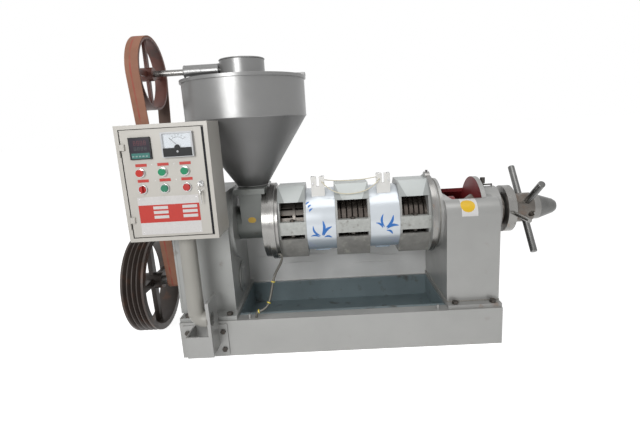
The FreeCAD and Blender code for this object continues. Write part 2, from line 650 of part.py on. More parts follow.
def gear_wheels():
    to_input = math.atan2(-number(MIDDLE_RISE), -number(MIDDLE_Y))
    wheel("intermediate_gear", S.fast_module, S.fast_gear_teeth, to_input, S.fast_left, S.fast_face,
          MIDDLE_Y, MIDDLE_Z, S.middle_shaft_radius)
    to_middle = math.atan2(number(MIDDLE_Z) - number(S.screw_height), number(MIDDLE_Y))
    wheel("main_gear", S.slow_module, S.slow_gear_teeth, to_middle, S.slow_left, S.slow_face,
          0, S.screw_height, S.screw_shaft_radius)


def v_belt_pulley():
    """Four-groove V-belt wheel with tapered spokes, keyed to the input shaft."""
    piece = Piece("v_belt_pulley")
    land = (S.sheave_width - S.groove_pitch * (S.groove_count - 1)) / 2
    foot = S.sheave_radius - S.groove_depth
    bore = S.input_shaft_radius + S.fit_gap
    inner = foot - S.sheave_rim_wall
    rim = [(0, inner), (0, S.sheave_radius)]
    for i in range(int(number(S.groove_count))):
        middle = land + S.groove_pitch * i
        rim += [(middle - S.groove_mouth, S.sheave_radius), (middle, foot), (middle + S.groove_mouth,
                                                                             S.sheave_radius)]
    rim += [(S.sheave_width, S.sheave_radius), (S.sheave_width, inner)]
    piece.turned(rim)
    piece.turned([(0, bore), (S.sheave_width, bore), (S.sheave_width, S.sheave_hub_radius),
                  (0, S.sheave_hub_radius)])
    taper_spokes(piece, S.sheave_width / 2, S.spoke_wall, S.spoke_width, S.sheave_hub_radius, inner)
    piece.place((S.sheave_left, 0, S.input_height))


def taper_spokes(piece, middle, wall, width, hub, rim):
    """Spokes from hub to rim, a quarter narrower at the rim."""
    low = hub - S.shaft_step
    high = rim + S.shaft_step
    piece.pad("YZ", [(-width / 2, low), (width / 2, low), (width * 0.375, high), (-width * 0.375, high)],
              middle - wall / 2, wall)
    piece.around("X", S.spoke_count)


def feeder_drive_pulley():
    """Small flat pulley on the input shaft for the feeder belt."""
    left = S.flat_belt_left - S.belt_wall
    ring("feeder_drive_pulley", "X", (left, 0, S.input_height), S.flat_belt_width + S.belt_wall * 2,
         S.drive_pulley_radius, S.input_shaft_radius + S.fit_gap)


def feeder_pulley():
    """Large flat pulley with four spokes on the feeder shaft."""
    piece = Piece("feeder_pulley")
    inner = S.feeder_pulley_radius - S.feeder_rim_wall
    bore = S.feeder_shaft_radius + S.fit_gap
    width = S.flat_belt_width
    piece.turned([(0, inner), (width, inner), (width, S.feeder_pulley_radius), (0, S.feeder_pulley_radius)])
    piece.turned([(0, bore), (width, bore), (width, S.feeder_hub_radius), (0, S.feeder_hub_radius)])
    taper_spokes(piece, width / 2, S.feeder_spoke_wall, S.feeder_spoke_width, S.feeder_hub_radius, inner)
    piece.place((S.flat_belt_left, 0, FEEDER_HEIGHT))


def belt_face(extra):
    """Face bounded by two arcs and the two straight runs that are tangent to them."""
    big = number(S.feeder_pulley_radius) + extra
    small = number(S.drive_pulley_radius) + extra
    high = number(FEEDER_HEIGHT)
    low = number(S.input_height)
    tilt = math.asin((big - small) / (high - low))
    x = number(S.flat_belt_left)

    def at(z, radius, angle):
        return Vector(x, radius * math.cos(angle), z + radius * math.sin(angle))

    upper = Part.Arc(at(high, big, -tilt), at(high, big, math.pi / 2), at(high, big, math.pi + tilt))
    left = Part.LineSegment(at(high, big, math.pi + tilt), at(low, small, math.pi + tilt))
    lower = Part.Arc(at(low, small, math.pi + tilt), at(low, small, -math.pi / 2), at(low, small, -tilt))
    right = Part.LineSegment(at(low, small, -tilt), at(high, big, -tilt))
    return Part.Face(Part.Wire([edge.toShape() for edge in (upper, left, lower, right)]))


def flat_belt():
    width = Vector(number(S.flat_belt_width), 0, 0)
    gap = number(S.belt_gap)
    outside = belt_face(gap + number(S.belt_wall)).extrude(width)
    shaped("flat_belt", outside.cut(belt_face(gap).extrude(width)))


def feed_housing():
    """Throat and barrel between the gearbox flange and the press cage."""
    piece = Piece("feed_housing")
    half = S.feed_plate_length / 2
    plate_low = S.feed_top - S.feed_plate_wall
    piece.block((S.hopper_x - half, S.hopper_x + half), (-S.feed_plate_width / 2, S.feed_plate_width / 2),
                (plate_low, S.feed_top))
    piece.pad("YZ", [(-S.throat_half_top, plate_low), (-S.throat_half_low, S.screw_height),
                     (S.throat_half_low, S.screw_height), (S.throat_half_top, plate_low)],
              S.throat_left, S.feed_flange_left - S.throat_left)
    piece.rod("X", (FLANGE_FACE, 0, S.screw_height), S.feed_flange_left - FLANGE_FACE, S.barrel_radius)
    piece.rod("X", (S.feed_flange_left, 0, S.screw_height), S.feed_flange_right - S.feed_flange_left,
              S.feed_flange_radius)
    piece.rod("X", (FLANGE_FACE, 0, S.screw_height), S.feed_flange_right - FLANGE_FACE, S.barrel_bore,
              cut=True)
    piece.rod("Z", (S.hopper_x, 0, S.screw_height), S.feed_top - S.screw_height, S.inlet_radius, cut=True)


def hopper():
    """Cylinder on a cone, in sheet metal, with a beaded rim."""
    piece = Piece("hopper")
    wall = S.hopper_wall
    foot = S.hopper_foot_radius
    knee = S.hopper_knee - S.feed_top
    rim = S.hopper_rim - S.feed_top
    bead_low = rim - S.hopper_bead * 2
    piece.turned([(0, foot - wall), (0, foot), (knee, S.hopper_radius), (bead_low, S.hopper_radius),
                  (bead_low, S.hopper_radius + S.hopper_bead), (rim, S.hopper_radius + S.hopper_bead),
                  (rim, S.hopper_radius - wall), (knee, S.hopper_radius - wall)])
    piece.place((S.hopper_x, 0, S.feed_top), TURN["-X"])


def hopper_crossbar():
    """Flat bar across the rim that carries the feeder gear, bored for the stirrer."""
    piece = Piece("hopper_crossbar")
    reach = S.hopper_radius + S.hopper_bead
    piece.block((S.hopper_x - reach, S.hopper_x + reach), (-S.crossbar_width / 2, S.crossbar_width / 2),
                (S.hopper_rim, S.hopper_rim + S.crossbar_wall))
    piece.rod("Z", (S.hopper_x, 0, S.hopper_rim), S.crossbar_wall, S.stirrer_radius + S.fit_gap, cut=True)


def bevel_gear_case():
    """Round drum over the bevel gears, closed above and open to the crossbar."""
    piece = Piece("bevel_gear_case")
    low = S.hopper_rim + S.crossbar_wall
    piece.rod("Z", (S.hopper_x, 0, low), CASE_TOP - low, S.case_radius)
    piece.rod("Z", (S.hopper_x, 0, low), CASE_TOP - low - S.case_wall, S.case_radius - S.case_wall,
              cut=True)
    piece.rod("X", (S.hopper_x - S.case_radius, 0, FEEDER_HEIGHT), S.case_radius / 2,
              S.feeder_shaft_radius + S.bolt_gap, cut=True)


def feeder_shaft_tube():
    """Bearing tube of the feeder shaft on two feet."""
    piece = Piece("feeder_shaft_tube")
    length = S.feeder_tube_right - S.feeder_tube_left
    low = S.hopper_rim + S.crossbar_wall
    piece.rod("X", (S.feeder_tube_left, 0, FEEDER_HEIGHT), length, S.feeder_tube_radius)
    for left in (S.feeder_tube_left + S.feeder_tube_wall, S.feeder_tube_right - S.feeder_tube_wall * 4):
        piece.block((left, left + S.feeder_tube_wall * 3), (-S.feeder_tube_wall * 2, S.feeder_tube_wall * 2),
                    (low, FEEDER_HEIGHT))
    piece.rod("X", (S.feeder_tube_left, 0, FEEDER_HEIGHT), length,
              S.feeder_tube_radius - S.feeder_tube_wall,
              cut=True)


def bevel_teeth(phase, turn):
    """Teeth of one mitre gear about +Z through its apex at the origin, below the apex, turned into place."""
    teeth = int(number(S.bevel_teeth))
    module = number(S.bevel_module)
    pitch = module * teeth / 2
    half = math.pi / (2 * teeth) - number(S.bevel_play) / (2 * pitch)
    lean = math.tan(math.radians(20)) / pitch
    flank = [(pitch - module, half + module * lean), (pitch + 0.8 * module, half - 0.8 * module * lean)]
    large = [Vector(a, b, -pitch) for a, b in toothed_outline(teeth, phase, flank)]
    shrink = 1 - number(S.bevel_face) / (pitch * math.sqrt(2))
    rings = [Part.makePolygon(ends + ends[:1]) for ends in (large, [corner * shrink for corner in large])]
    solid = Part.makeLoft(rings, True, True)
    solid.Placement = Placement(Vector(number(S.hopper_x), 0, number(FEEDER_HEIGHT)), turn)
    return solid



def bevel_pinion_end():
    shrink = 1 - number(S.bevel_face) / (number(S.bevel_module * S.bevel_teeth) / 2 * math.sqrt(2))
    return number(S.bevel_module * S.bevel_teeth) / 2 * shrink


def feeder_shaft():
    """Feeder shaft with the bevel pinion fixed on its inner end."""
    apex = number(S.hopper_x)
    height = number(FEEDER_HEIGHT)
    back = number(S.bevel_module * S.bevel_teeth) / 2
    radius = number(S.feeder_shaft_radius)
    shaft = bar_of(radius, number(S.flat_belt_left - S.shaft_step), apex - bevel_pinion_end(), 0, height)
    hub = bar_of(radius + number(S.bevel_module), apex - number(S.bevel_reach), apex - back, 0, height)
    shaped("feeder_shaft", shaft.fuse([hub, bevel_teeth(math.pi, TURN["X"])]))


def bevel_gear():
    """Driven bevel gear on the stirrer's shaft, a tooth gap on the line of contact."""
    back = number(S.bevel_module * S.bevel_teeth) / 2
    radius = number(S.feeder_shaft_radius + S.bevel_module)
    reach = number(S.bevel_reach)
    centre = Vector(number(S.hopper_x), 0, number(FEEDER_HEIGHT) - reach)
    hub = Part.makeCylinder(radius, reach - back, centre)
    phase = math.pi + math.pi / number(S.bevel_teeth)
    hole = Part.makeCylinder(number(S.stirrer_radius + S.fit_gap), reach, centre)
    shaped("bevel_gear", hub.fuse(bevel_teeth(phase, Rotation())).cut(hole))


def agitator():
    """Stirrer shaft with two pairs of arms in the hopper and push-down blades in the throat."""
    piece = Piece("agitator")
    x = S.hopper_x
    top = FEEDER_HEIGHT - bevel_pinion_end()
    piece.rod("Z", (x, 0, S.stirrer_foot), top - S.stirrer_foot, S.stirrer_radius)
    piece.rod("X", (x - S.stirrer_high_reach, 0, S.stirrer_high), S.stirrer_high_reach * 2,
              S.stirrer_arm_radius)
    piece.rod("Y", (x, -S.stirrer_low_reach, S.stirrer_low), S.stirrer_low_reach * 2, S.stirrer_arm_radius)
    wall = S.stirrer_blade_wall / 2
    piece.block((x - S.stirrer_blade_reach, x + S.stirrer_blade_reach), (-wall, wall),
                (S.stirrer_foot, S.stirrer_foot + S.stirrer_blade_height))


def cage_half(label, side, panels):
    """One half of the press cage: flanges, ribs, side strips and sheet panels at the windows."""
    piece = Piece(label)
    axis = S.screw_height
    flange_end = S.cage_left + S.cage_left_flange
    piece.rod("X", (S.cage_left, 0, axis), S.cage_left_flange, S.cage_flange_radius)
    piece.rod("X", (flange_end, 0, axis), S.cage_left_ring, S.cage_left_ring_radius)
    piece.rod("X", (S.cage_right - S.cage_right_flange, 0, axis), S.cage_right_flange, S.cage_flange_radius)
    for left in (S.band_left, S.band_left + S.band_shift):
        piece.rod("X", (left, 0, axis), S.band_width, S.rib_radius)
    if side > 0:
        piece.rod("X", (S.cage_right - S.cage_right_flange, 0, axis + S.cage_lug_height),
                  S.cage_right_flange,
                  S.cage_lug_radius)
    edge = S.strip_top - axis if side > 0 else axis - S.strip_bottom
    for left, right in WINDOWS:
        web = [(-S.strip_reach, axis), (-S.strip_reach, axis + edge * side)]
        web += panels[0] + [(S.strip_reach, axis + edge * side), (S.strip_reach, axis)]
        for start in (left, right - S.end_web):
            piece.pad("YZ", web, start, S.end_web)
        strip = (axis, axis + edge) if side > 0 else (axis - edge, axis)
        for inner in (-S.strip_reach, S.strip_reach - S.strip_width):
            piece.block((left, right), (inner, inner + S.strip_width), strip)
        for panel in panels[1:]:
            piece.pad("YZ", panel, left, right - left)
    rings_right = S.cage_right - S.cage_right_flange
    piece.rod("X", (flange_end + S.cage_left_ring, 0, axis), rings_right - flange_end - S.cage_left_ring,
              S.ring_radius + S.seat_gap, cut=True)
    piece.rod("X", (S.cage_left, 0, axis), S.cage_right - S.cage_left, S.cage_bore, cut=True)
    for left, right in WINDOWS:
        for y in (-STRIP_Y, STRIP_Y):
            piece.rod("Z", ((left + right) / 2, y, S.strip_bottom), S.strip_top - S.strip_bottom,
                      S.cage_bolt_radius + S.bolt_gap, cut=True)
    reach = S.cage_flange_radius + S.cage_lug_radius
    other = (axis - reach, axis) if side > 0 else (axis, axis + reach)
    piece.block((S.cage_left, S.cage_right), (-reach, reach), other, cut=True)


def cage_halves():
    axis = S.screw_height
    wall = S.roof_wall
    shoulder = axis + S.shoulder_height
    roof = axis + S.roof_height
    crest = [(-S.shoulder_reach, shoulder), (-S.roof_half, roof), (S.roof_half, roof),
             (S.shoulder_reach, shoulder)]
    inside = [(S.shoulder_reach - wall * 1.4, shoulder), (S.roof_half - wall * 0.4, roof - wall),
              (-S.roof_half + wall * 0.4, roof - wall), (-S.shoulder_reach + wall * 1.4, shoulder)]
    cage_half("upper_cage", 1, [crest, crest + inside])
    hip = axis - S.hip_depth
    floor = axis - S.floor_depth
    keel = [(-S.hip_reach, hip), (-S.floor_half, floor), (S.floor_half, floor), (S.hip_reach, hip)]
    front = [(-S.hip_reach, hip), (-S.floor_half, floor), (-S.floor_half + S.hip_width, floor),
             (-S.hip_reach + S.hip_width, hip)]
    back = [(S.hip_reach - S.hip_width, hip), (S.floor_half - S.hip_width, floor), (S.floor_half, floor),
            (S.hip_reach, hip)]
    cage_half("lower_cage", -1, [keel, front, back])


def cage_bolts():
    """Bolts with nuts through the side strips, and the small screw on the right flange's lug."""
    bolts = []
    grip = S.strip_top - S.strip_bottom
    for left, right in WINDOWS:
        for y in (-STRIP_Y, STRIP_Y):
            x = (left + right) / 2
            name = f"cage_bolt_{len(bolts)}"
            bolt = hex_bolt(name, (x, y, S.strip_top), "Z", S.cage_head_radius, S.cage_head_height,
                            S.cage_bolt_radius, grip + S.cage_head_height)
            nut = primitive("Prism", f"{name}_nut", (x, y, S.strip_bottom), "-Z",
                            Circumradius=S.cage_head_radius, Height=S.cage_head_height)
            bolts.append(join(f"{name}_pair", [bolt, nut]))
    top = S.screw_height + S.cage_lug_height + S.cage_lug_radius
    x = S.cage_right - S.cage_right_flange / 2
    bolts.append(hex_bolt("lug_screw", (x, 0, top + S.cage_screw_radius), "Z", S.cage_screw_radius * 2,
                          S.cage_screw_radius, S.cage_screw_radius, S.cage_screw_radius))
    group("cage_bolts", bolts)


def press_bars():
    """Lining bars set like barrel staves, with the band that holds them."""
    piece = Piece("press_bars")
    left = S.cage_left + S.cage_left_flange + S.cage_left_ring
    piece.pad("YZ", [(-S.bar_foot / 2, S.bar_bottom), (S.bar_foot / 2, S.bar_bottom),
                     (S.bar_width / 2, S.bar_top), (-S.bar_width / 2, S.bar_top)], left, S.bar_right - left)
    piece.around("X", S.bar_count)
    right = S.bar_band_left + S.bar_band_width
    piece.turned([(S.bar_band_left, S.bar_band_bore), (right, S.bar_band_bore), (right, S.bar_band_radius),
                  (S.bar_band_left, S.bar_band_radius)])
    piece.place((0, 0, S.screw_height))


def press_rings():
    """Notched press rings in the two right-hand windows and plain spacer rings under the heaters."""
    piece = Piece("press_rings")
    spacers = ((S.bar_right, BAND_RIGHT), (WINDOWS[1][1], WINDOWS[2][0]))
    for left, right in spacers:
        piece.turned([(left, S.ring_bore), (right, S.ring_bore), (right, S.ring_radius), (left,
                                                                                          S.ring_radius)])
    for left, right in WINDOWS[1:]:
        pitch = (right - left) / S.window_ring_count
        outline = [(right, S.ring_bore), (left, S.ring_bore), (left, S.ring_radius)]
        for i in range(1, int(number(S.window_ring_count))):
            joint = left + pitch * i
            outline += [(joint - S.ring_notch, S.ring_radius), (joint, S.ring_radius - S.ring_groove),
                        (joint + S.ring_notch, S.ring_radius)]
        piece.turned(outline + [(right, S.ring_radius)])
    piece.place((0, 0, S.screw_height))


def heater_bands():
    """Band heaters round the ribs, with the clamping ledge below each."""
    piece = Piece("heater_bands")
    inner = S.rib_radius + S.fit_gap
    outer = inner + S.band_wall
    for left in (S.band_left, S.band_left + S.band_shift):
        near = left + S.band_inset
        far = left + S.band_width - S.band_inset
        piece.turned([(near, inner), (far, inner), (far, outer), (near, outer)])
        middle = left + S.band_width / 2
        piece.block((middle - S.band_lug_width / 2, middle + S.band_lug_width / 2),
                    (-S.band_lug_reach, S.band_lug_reach),
                    (-outer - S.band_lug_height, -outer + S.band_wall / 2))
    piece.place((0, 0, S.screw_height))


def terminal_blocks():
    """Ceramic terminals that stand on the two band heaters."""
    piece = Piece("terminal_blocks")
    low = S.screw_height + S.shoulder_height
    y = (-S.terminal_front, -S.terminal_back)
    for x in (S.terminal_left, S.terminal_right):
        piece.block((x - S.terminal_half, x + S.terminal_half), y, (low, S.terminal_base))
        piece.block((x - S.terminal_half, x - S.terminal_gap / 2), y, (low, S.terminal_top))
        piece.block((x + S.terminal_gap / 2, x + S.terminal_half), y, (low, S.terminal_top))
    near = S.terminal_left - S.terminal_half
    piece.rod("X", (near, 0, S.screw_height), S.terminal_right + S.terminal_half - near,
              S.rib_radius + S.band_wall + S.fit_gap * 2, cut=True)


def worm(pitch):
    """One worm: a sleeve with a flight of nearly one turn, starting at the origin along +Z."""
    wall = number(S.flight_wall)
    hub = number(S.root_radius)
    tip = number(S.flight_radius)
    half = wall / 2
    spiral = Part.makeHelix(pitch, pitch - wall, hub)
    corners = [Vector(hub - 1, 0, -half), Vector(tip, 0, -half / 2), Vector(tip, 0, half / 2),
               Vector(hub - 1, 0, half)]
    blade = Part.Wire(spiral).makePipeShell([Part.makePolygon(corners + corners[:1])], True, True)
    blade.translate(Vector(0, 0, half))
    sleeve = Part.makeCylinder(hub, pitch).cut(Part.makeCylinder(number(S.tail_radius + S.fit_gap), pitch))
    return sleeve.fuse(blade)


def press_worms():
    """Worms threaded on the screw shaft one after another, and the cone at the cake outlet."""
    pitch = number(S.worm_pitch)
    count = int(number(S.worm_count))
    first = worm(pitch)
    worms = []
    for i in range(count):
        worms.append(first.copy())
        worms[-1].translate(Vector(0, 0, pitch * i))
    start = pitch * count
    length = number(S.worm_end - S.worm_left) - start
    cone = Part.makeCone(number(S.root_radius), number(S.worm_end_radius), length, Vector(0, 0, start))
    bore = Part.makeCylinder(number(S.tail_radius + S.fit_gap), length, Vector(0, 0, start))
    worms.append(cone.cut(bore))
    shaped("press_worms", Part.makeCompound(worms), (S.worm_left, 0, S.screw_height), TURN["X"])


def screw_shaft():
    """Main shaft: thick through the gearbox, stepped down for the worms and the thrust bearing."""
    piece = Piece("screw_shaft")
    piece.turned([(LEFT_SEAT, 0), (LEFT_SEAT, S.screw_shaft_radius), (S.worm_left, S.screw_shaft_radius),
                  (S.worm_left, S.tail_radius), (TAIL_RIGHT, S.tail_radius), (TAIL_RIGHT, 0)])
    piece.place((0, 0, S.screw_height))


def post_chamber():
    """Section across the machine of the hollow inside the bearing post."""
    side = S.post_half - S.post_wall
    top = S.post_top - S.post_wall
    knee = S.post_shoulder - S.post_wall
    low = FLOOR + S.post_wall
    return [(-side, low), (-side, top - knee), (-side + knee, top), (side - knee, top), (side, top - knee),
            (side, low)]


def bearing_post():
    """Hollow cast post with the cake window, the arched cheek and the threaded sleeve's boss."""
    piece = Piece("bearing_post")
    axis = S.screw_height
    cheek_right = S.post_window_right + S.cheek_wall
    piece.block((S.post_left, S.post_right), (-S.post_half, S.post_half), (FLOOR, S.post_top))
    piece.round(S.post_shoulder, along_x_at(S.post_top))
    chamber = S.post_left + S.post_wall
    piece.pad("YZ", post_chamber(), chamber, S.post_window_right - chamber, cut=True)
    piece.pad("YZ", post_chamber(), cheek_right, S.post_right - S.post_wall - cheek_right, cut=True)
    lip = S.post_half - S.post_shoulder
    piece.block((S.post_window_left, S.post_window_right), (-lip, lip),
                (S.post_top - S.post_wall, S.post_top), cut=True)
    piece.block((S.tray_right, S.post_right), (-S.foot_reach, S.foot_reach), (S.base_height, FLOOR))
    for x in POST_FOOT_X:
        for y in (-S.foot_bolt_y, S.foot_bolt_y):
            piece.rod("Z", (x, y, S.base_height), S.foot_wall, S.foot_bolt_radius + S.bolt_gap, cut=True)
    piece.rod("X", (S.post_window_right, 0, axis), S.cheek_wall, S.arch_radius)
    piece.rod("X", (cheek_right, 0, axis), S.boss_right - cheek_right, S.boss_radius)
    piece.rod("X", (S.post_flange_left, 0, axis), S.post_left - S.post_flange_left, S.post_flange_radius)
    piece.rod("X", (S.post_left, 0, axis), S.outlet_right - S.post_left, S.outlet_radius)
    piece.rod("X", (S.post_flange_left, 0, axis), S.outlet_right - S.post_flange_left, S.cage_bore, cut=True)
    piece.rod("X", (S.post_window_right, 0, axis), S.boss_right - S.post_window_right,
              S.sleeve_radius + S.fit_gap, cut=True)
    stem = (S.grease_x, 0, axis + S.boss_radius - S.shaft_step)
    piece.rod("Z", stem, S.shaft_step, S.grease_stem_radius + S.fit_gap, cut=True)


def choke_sleeve():
    """Sliding sleeve in the post's boss: its nose throttles the cake, its bore takes the adjusting screw."""
    piece = Piece("choke_sleeve")
    loose = S.tail_radius + S.sleeve_gap
    bore = S.screw_neck_radius + S.fit_gap
    piece.turned([(S.sleeve_nose, loose), (S.sleeve_nose, S.sleeve_nose_radius),
                  (S.sleeve_shoulder, S.sleeve_radius), (SLEEVE_RIGHT, S.sleeve_radius),
                  (SLEEVE_RIGHT, bore), (S.sleeve_chamber, bore), (S.sleeve_chamber, loose)])
    piece.place((0, 0, S.screw_height))


def thrust_bearing():
    """Thrust bearing on the shaft's tail, inside the sleeve."""
    ring("thrust_bearing", "X", (S.sleeve_chamber, 0, S.screw_height), S.thrust_wall, S.screw_neck_radius,
         S.tail_radius + S.fit_gap)


def adjusting_screw():
    """Hub for the capstan bars, with the neck that screws into the sleeve and the tapered nose."""
    piece = Piece("adjusting_screw")
    piece.turned([(NECK_LEFT, 0), (NECK_LEFT, S.screw_neck_radius), (HUB_LEFT, S.screw_neck_radius),
                  (HUB_LEFT, S.hub_radius), (HUB_RIGHT, S.hub_radius), (HUB_RIGHT, S.collar_radius),
                  (COLLAR_RIGHT, S.collar_radius), (NOSE_RIGHT - S.nose_round,
                                                      S.nose_radius + S.nose_round / 3),
                  (NOSE_RIGHT, S.nose_radius - S.nose_round / 3), (NOSE_RIGHT, 0)])
    bore = S.handle_radius + S.fit_gap
    reach = S.hub_radius + S.shaft_step
    across = crank_turn(S.handle_tilt)
    piece.rod(across, crank_point(HANDLE_X, S.handle_tilt, -reach), reach * 2, bore, cut=True)
    second = S.handle_tilt + 90
    piece.rod(crank_turn(second), crank_point(HANDLE_X, second, 0), reach, bore, cut=True)
    third = S.handle_tilt + 143.5
    piece.rod(crank_turn(third), crank_point(SPARE_HOLE_X, third, reach - S.spare_hole_depth),
              S.spare_hole_depth, S.handle_radius, cut=True)
    piece.place((0, 0, S.screw_height))


def crank_turn(angle):
    """Rotation of +Z to the direction at an angle from +Y towards +Z."""
    return Rotation(Vector(1, 0, 0), number(angle) - 90)


def crank_point(x, angle, distance):
    lean = math.radians(number(angle))
    return (x, distance * math.cos(lean), distance * math.sin(lean))


def capstan_bars():
    """One bar right through the hub and one from its middle, a quarter turn apart."""
    second = S.handle_tilt + 90
    start = S.handle_radius + S.bolt_gap
    bars = []
    for angle, begin in ((S.handle_tilt, -S.handle_reach), (second, start)):
        x, y, z = crank_point(HANDLE_X, angle, begin)
        bars.append(primitive("Cylinder", f"capstan_bar_{len(bars)}", (x, y, S.screw_height + z),
                              crank_turn(angle), Radius=S.handle_radius, Height=S.handle_reach - begin))
    group("capstan_bars", bars)


def lock_nut():
    """Round lock nut on the adjusting screw's neck, with its lever."""
    piece = Piece("lock_nut")
    bore = S.screw_neck_radius + S.fit_gap
    piece.turned([(0, bore), (0, S.nut_radius), (S.nut_wall, S.nut_radius), (S.nut_wall, bore)])
    start = S.nut_radius - S.lever_radius * 2
    piece.rod("-Y", (S.nut_wall / 2, -start, 0), S.lever_reach - start, S.lever_radius)
    piece.place((NUT_LEFT, 0, S.screw_height))


def grease_cup():
    """Screw-down grease cup and its feed pipe on the boss."""
    piece = Piece("grease_cup")
    seat = S.screw_height + S.boss_radius - S.shaft_step
    piece.rod("Z", (S.grease_x, 0, seat), S.grease_low - seat, S.grease_stem_radius)
    piece.rod("Z", (S.grease_x, 0, S.grease_low), S.grease_height, S.grease_radius)
    end = S.grease_pipe_right - S.grease_pipe_radius
    piece.rod("X", (S.grease_x, 0, S.grease_pipe_height), end - S.grease_x, S.grease_pipe_radius)
    low = S.screw_height + S.boss_radius + S.seat_gap
    piece.rod("Z", (end, 0, low), S.grease_pipe_height + S.grease_pipe_radius - low, S.grease_pipe_radius)


def pipe_run(name, radius):
    """The conduit's vertical run, bend and short level run, at one radius."""
    bend = S.conduit_bend
    turn_z = S.conduit_height + bend
    turn_x = S.conduit_x + bend
    upright = primitive("Cylinder", f"{name}_upright", (S.conduit_x, S.conduit_y, turn_z), "Z",
                        Radius=radius, Height=S.box_bottom - turn_z)
    elbow = primitive("Torus", f"{name}_bend", (turn_x, S.conduit_y, turn_z),
                      Rotation(Vector(0, 0, -1), Vector(-1, 0, 0), Vector(0, 1, 0), "XYZ"),
                      Radius1=bend, Radius2=radius, Angle3=90)
    level = primitive("Cylinder", f"{name}_level", (turn_x, S.conduit_y, S.conduit_height), "X",
                      Radius=radius, Height=S.fin_left - turn_x)
    return join(name, [upright, elbow, level])


def conduit_pipe():
    """Pipe that carries the control box and its cables."""
    carve("conduit_pipe", pipe_run("conduit_outside", S.conduit_radius),
          pipe_run("conduit_inside", S.conduit_radius - S.conduit_wall))


def conduit_bracket():
    """Folded bracket on the front beam: ears, side, front web and the tall plate the conduit enters."""
    piece = Piece("conduit_bracket")
    wall = S.bracket_wall
    front = -HALF_WIDTH - S.bracket_reach
    seat = (-HALF_WIDTH - wall, -HALF_WIDTH)
    ears = (S.bracket_low, S.bracket_top)
    webs = (S.bracket_lift, S.bracket_top)
    side_right = S.fin_left + S.fin_wall
    piece.block((S.bracket_left, S.bracket_side), seat, ears)
    piece.block((S.fin_left, S.bracket_right), seat, ears)
    piece.block((S.bracket_side, S.bracket_side + wall), (front, -HALF_WIDTH), webs)
    piece.block((S.bracket_side, side_right), (front, front + wall), webs)
    piece.block((S.fin_left, side_right), (front, -HALF_WIDTH - S.seat_gap), (S.bracket_lift, S.fin_top))
    piece.rod("X", (S.fin_left, S.conduit_y, S.conduit_height), S.fin_wall,
              S.conduit_radius - S.conduit_wall,
              cut=True)
    for x in (S.bracket_bolt_left, S.bracket_bolt_right):
        for z in (S.bracket_bolt_low, S.bracket_bolt_high):
            piece.rod("Y", (x, seat[0], z), wall, S.bracket_bolt_radius + S.bolt_gap, cut=True)


def control_box():
    """Sheet-metal box with a frame round its door opening and hinge knuckles at the left."""
    piece = Piece("control_box")
    wall = S.box_wall
    x = (S.box_left, S.box_left + S.box_width)
    y = (S.box_front, S.box_front + S.box_depth)
    z = (S.box_bottom, S.box_bottom + S.box_height)
    lip = S.box_lip
    piece.block(x, y, z)
    piece.block((x[0] + wall, x[1] - wall), (y[0] + wall, y[1] - wall), (z[0] + wall, z[1] - wall), cut=True)
    piece.block((x[0] + lip, x[1] - lip), (y[0], y[0] + wall), (z[0] + lip, z[1] - lip), cut=True)
    piece.rod("Z", (S.conduit_x, S.conduit_y, S.box_bottom), wall, S.conduit_radius - S.conduit_wall,
              cut=True)
    for low in (S.hinge_low, S.hinge_high):
        piece.rod("Z", (HINGE_X, HINGE_Y, low - S.knuckle), S.knuckle, S.hinge_radius)
        piece.block((HINGE_X - S.hinge_radius, HINGE_X), (HINGE_Y, S.box_front), (low - S.knuckle, low))
        piece.rod("Z", (HINGE_X, HINGE_Y, low), S.knuckle, S.hinge_pin)


def row_places():
    """X of the three fittings in each row under the instruments."""
    return [S.button_left + S.button_pitch * i for i in range(3)]


def box_door():
    """Door leaf with cut-outs for its instruments and hinge leaves on its left edge."""
    piece = Piece("box_door")
    gap = S.box_lip + S.door_gap
    y = (DOOR_FRONT, DOOR_BACK)
    piece.block((S.box_left + gap, S.box_left + S.box_width - gap), y,
                (S.box_bottom + gap, S.box_bottom + S.box_height - gap))
    inset = S.cutout_inset - S.cap_gap
    left = S.controller_left + inset
    low = S.controller_low + inset
    size = S.controller_size - inset * 2
    piece.block((left, left + size), y, (low, low + size), cut=True)
    meter_x = S.meter_left + S.meter_width / 2
    meter_z = S.meter_low + S.meter_height / 2
    piece.rod("Y", (meter_x, DOOR_FRONT, meter_z), S.door_wall, S.meter_body + S.cap_gap, cut=True)
    for x in row_places():
        for z in (S.lamp_row, S.button_row):
            piece.rod("Y", (x, DOOR_FRONT, z), S.door_wall, S.bezel_barrel + S.cap_gap, cut=True)
    piece.rod("Y", (S.lock_x, DOOR_FRONT, S.lock_height), S.door_wall, S.lock_barrel + S.fit_gap, cut=True)
    for low in (S.hinge_low, S.hinge_high):
        high = low + S.knuckle
        leaf = S.hinge_leaf
        piece.rod("Z", (HINGE_X, HINGE_Y, low), S.knuckle, S.hinge_radius)
        piece.block((HINGE_X, HINGE_X + leaf), (HINGE_Y - 1, HINGE_Y + 1), (low, high))
        piece.block((HINGE_X + leaf - S.hinge_radius, HINGE_X + leaf), (HINGE_Y, DOOR_FRONT), (low, high))
        piece.rod("Z", (HINGE_X, HINGE_Y, low), S.knuckle, S.hinge_pin + S.fit_gap, cut=True)


def temperature_controller():
    """Square panel controller: bezel in front of the door, case behind it."""
    piece = Piece("temperature_controller")
    x = (S.controller_left, S.controller_left + S.controller_size)
    z = (S.controller_low, S.controller_low + S.controller_size)
    inset = S.cutout_inset
    piece.block(x, (DOOR_FRONT - S.bezel_stand, DOOR_FRONT), z)
    piece.block((x[0] + inset, x[1] - inset), (DOOR_FRONT, DOOR_FRONT + S.controller_depth),
                (z[0] + inset, z[1] - inset))


def needle_pivot():
    """Where the ammeter's needle turns."""
    return (S.meter_left + S.meter_width / 2, S.meter_low + S.needle_rise)


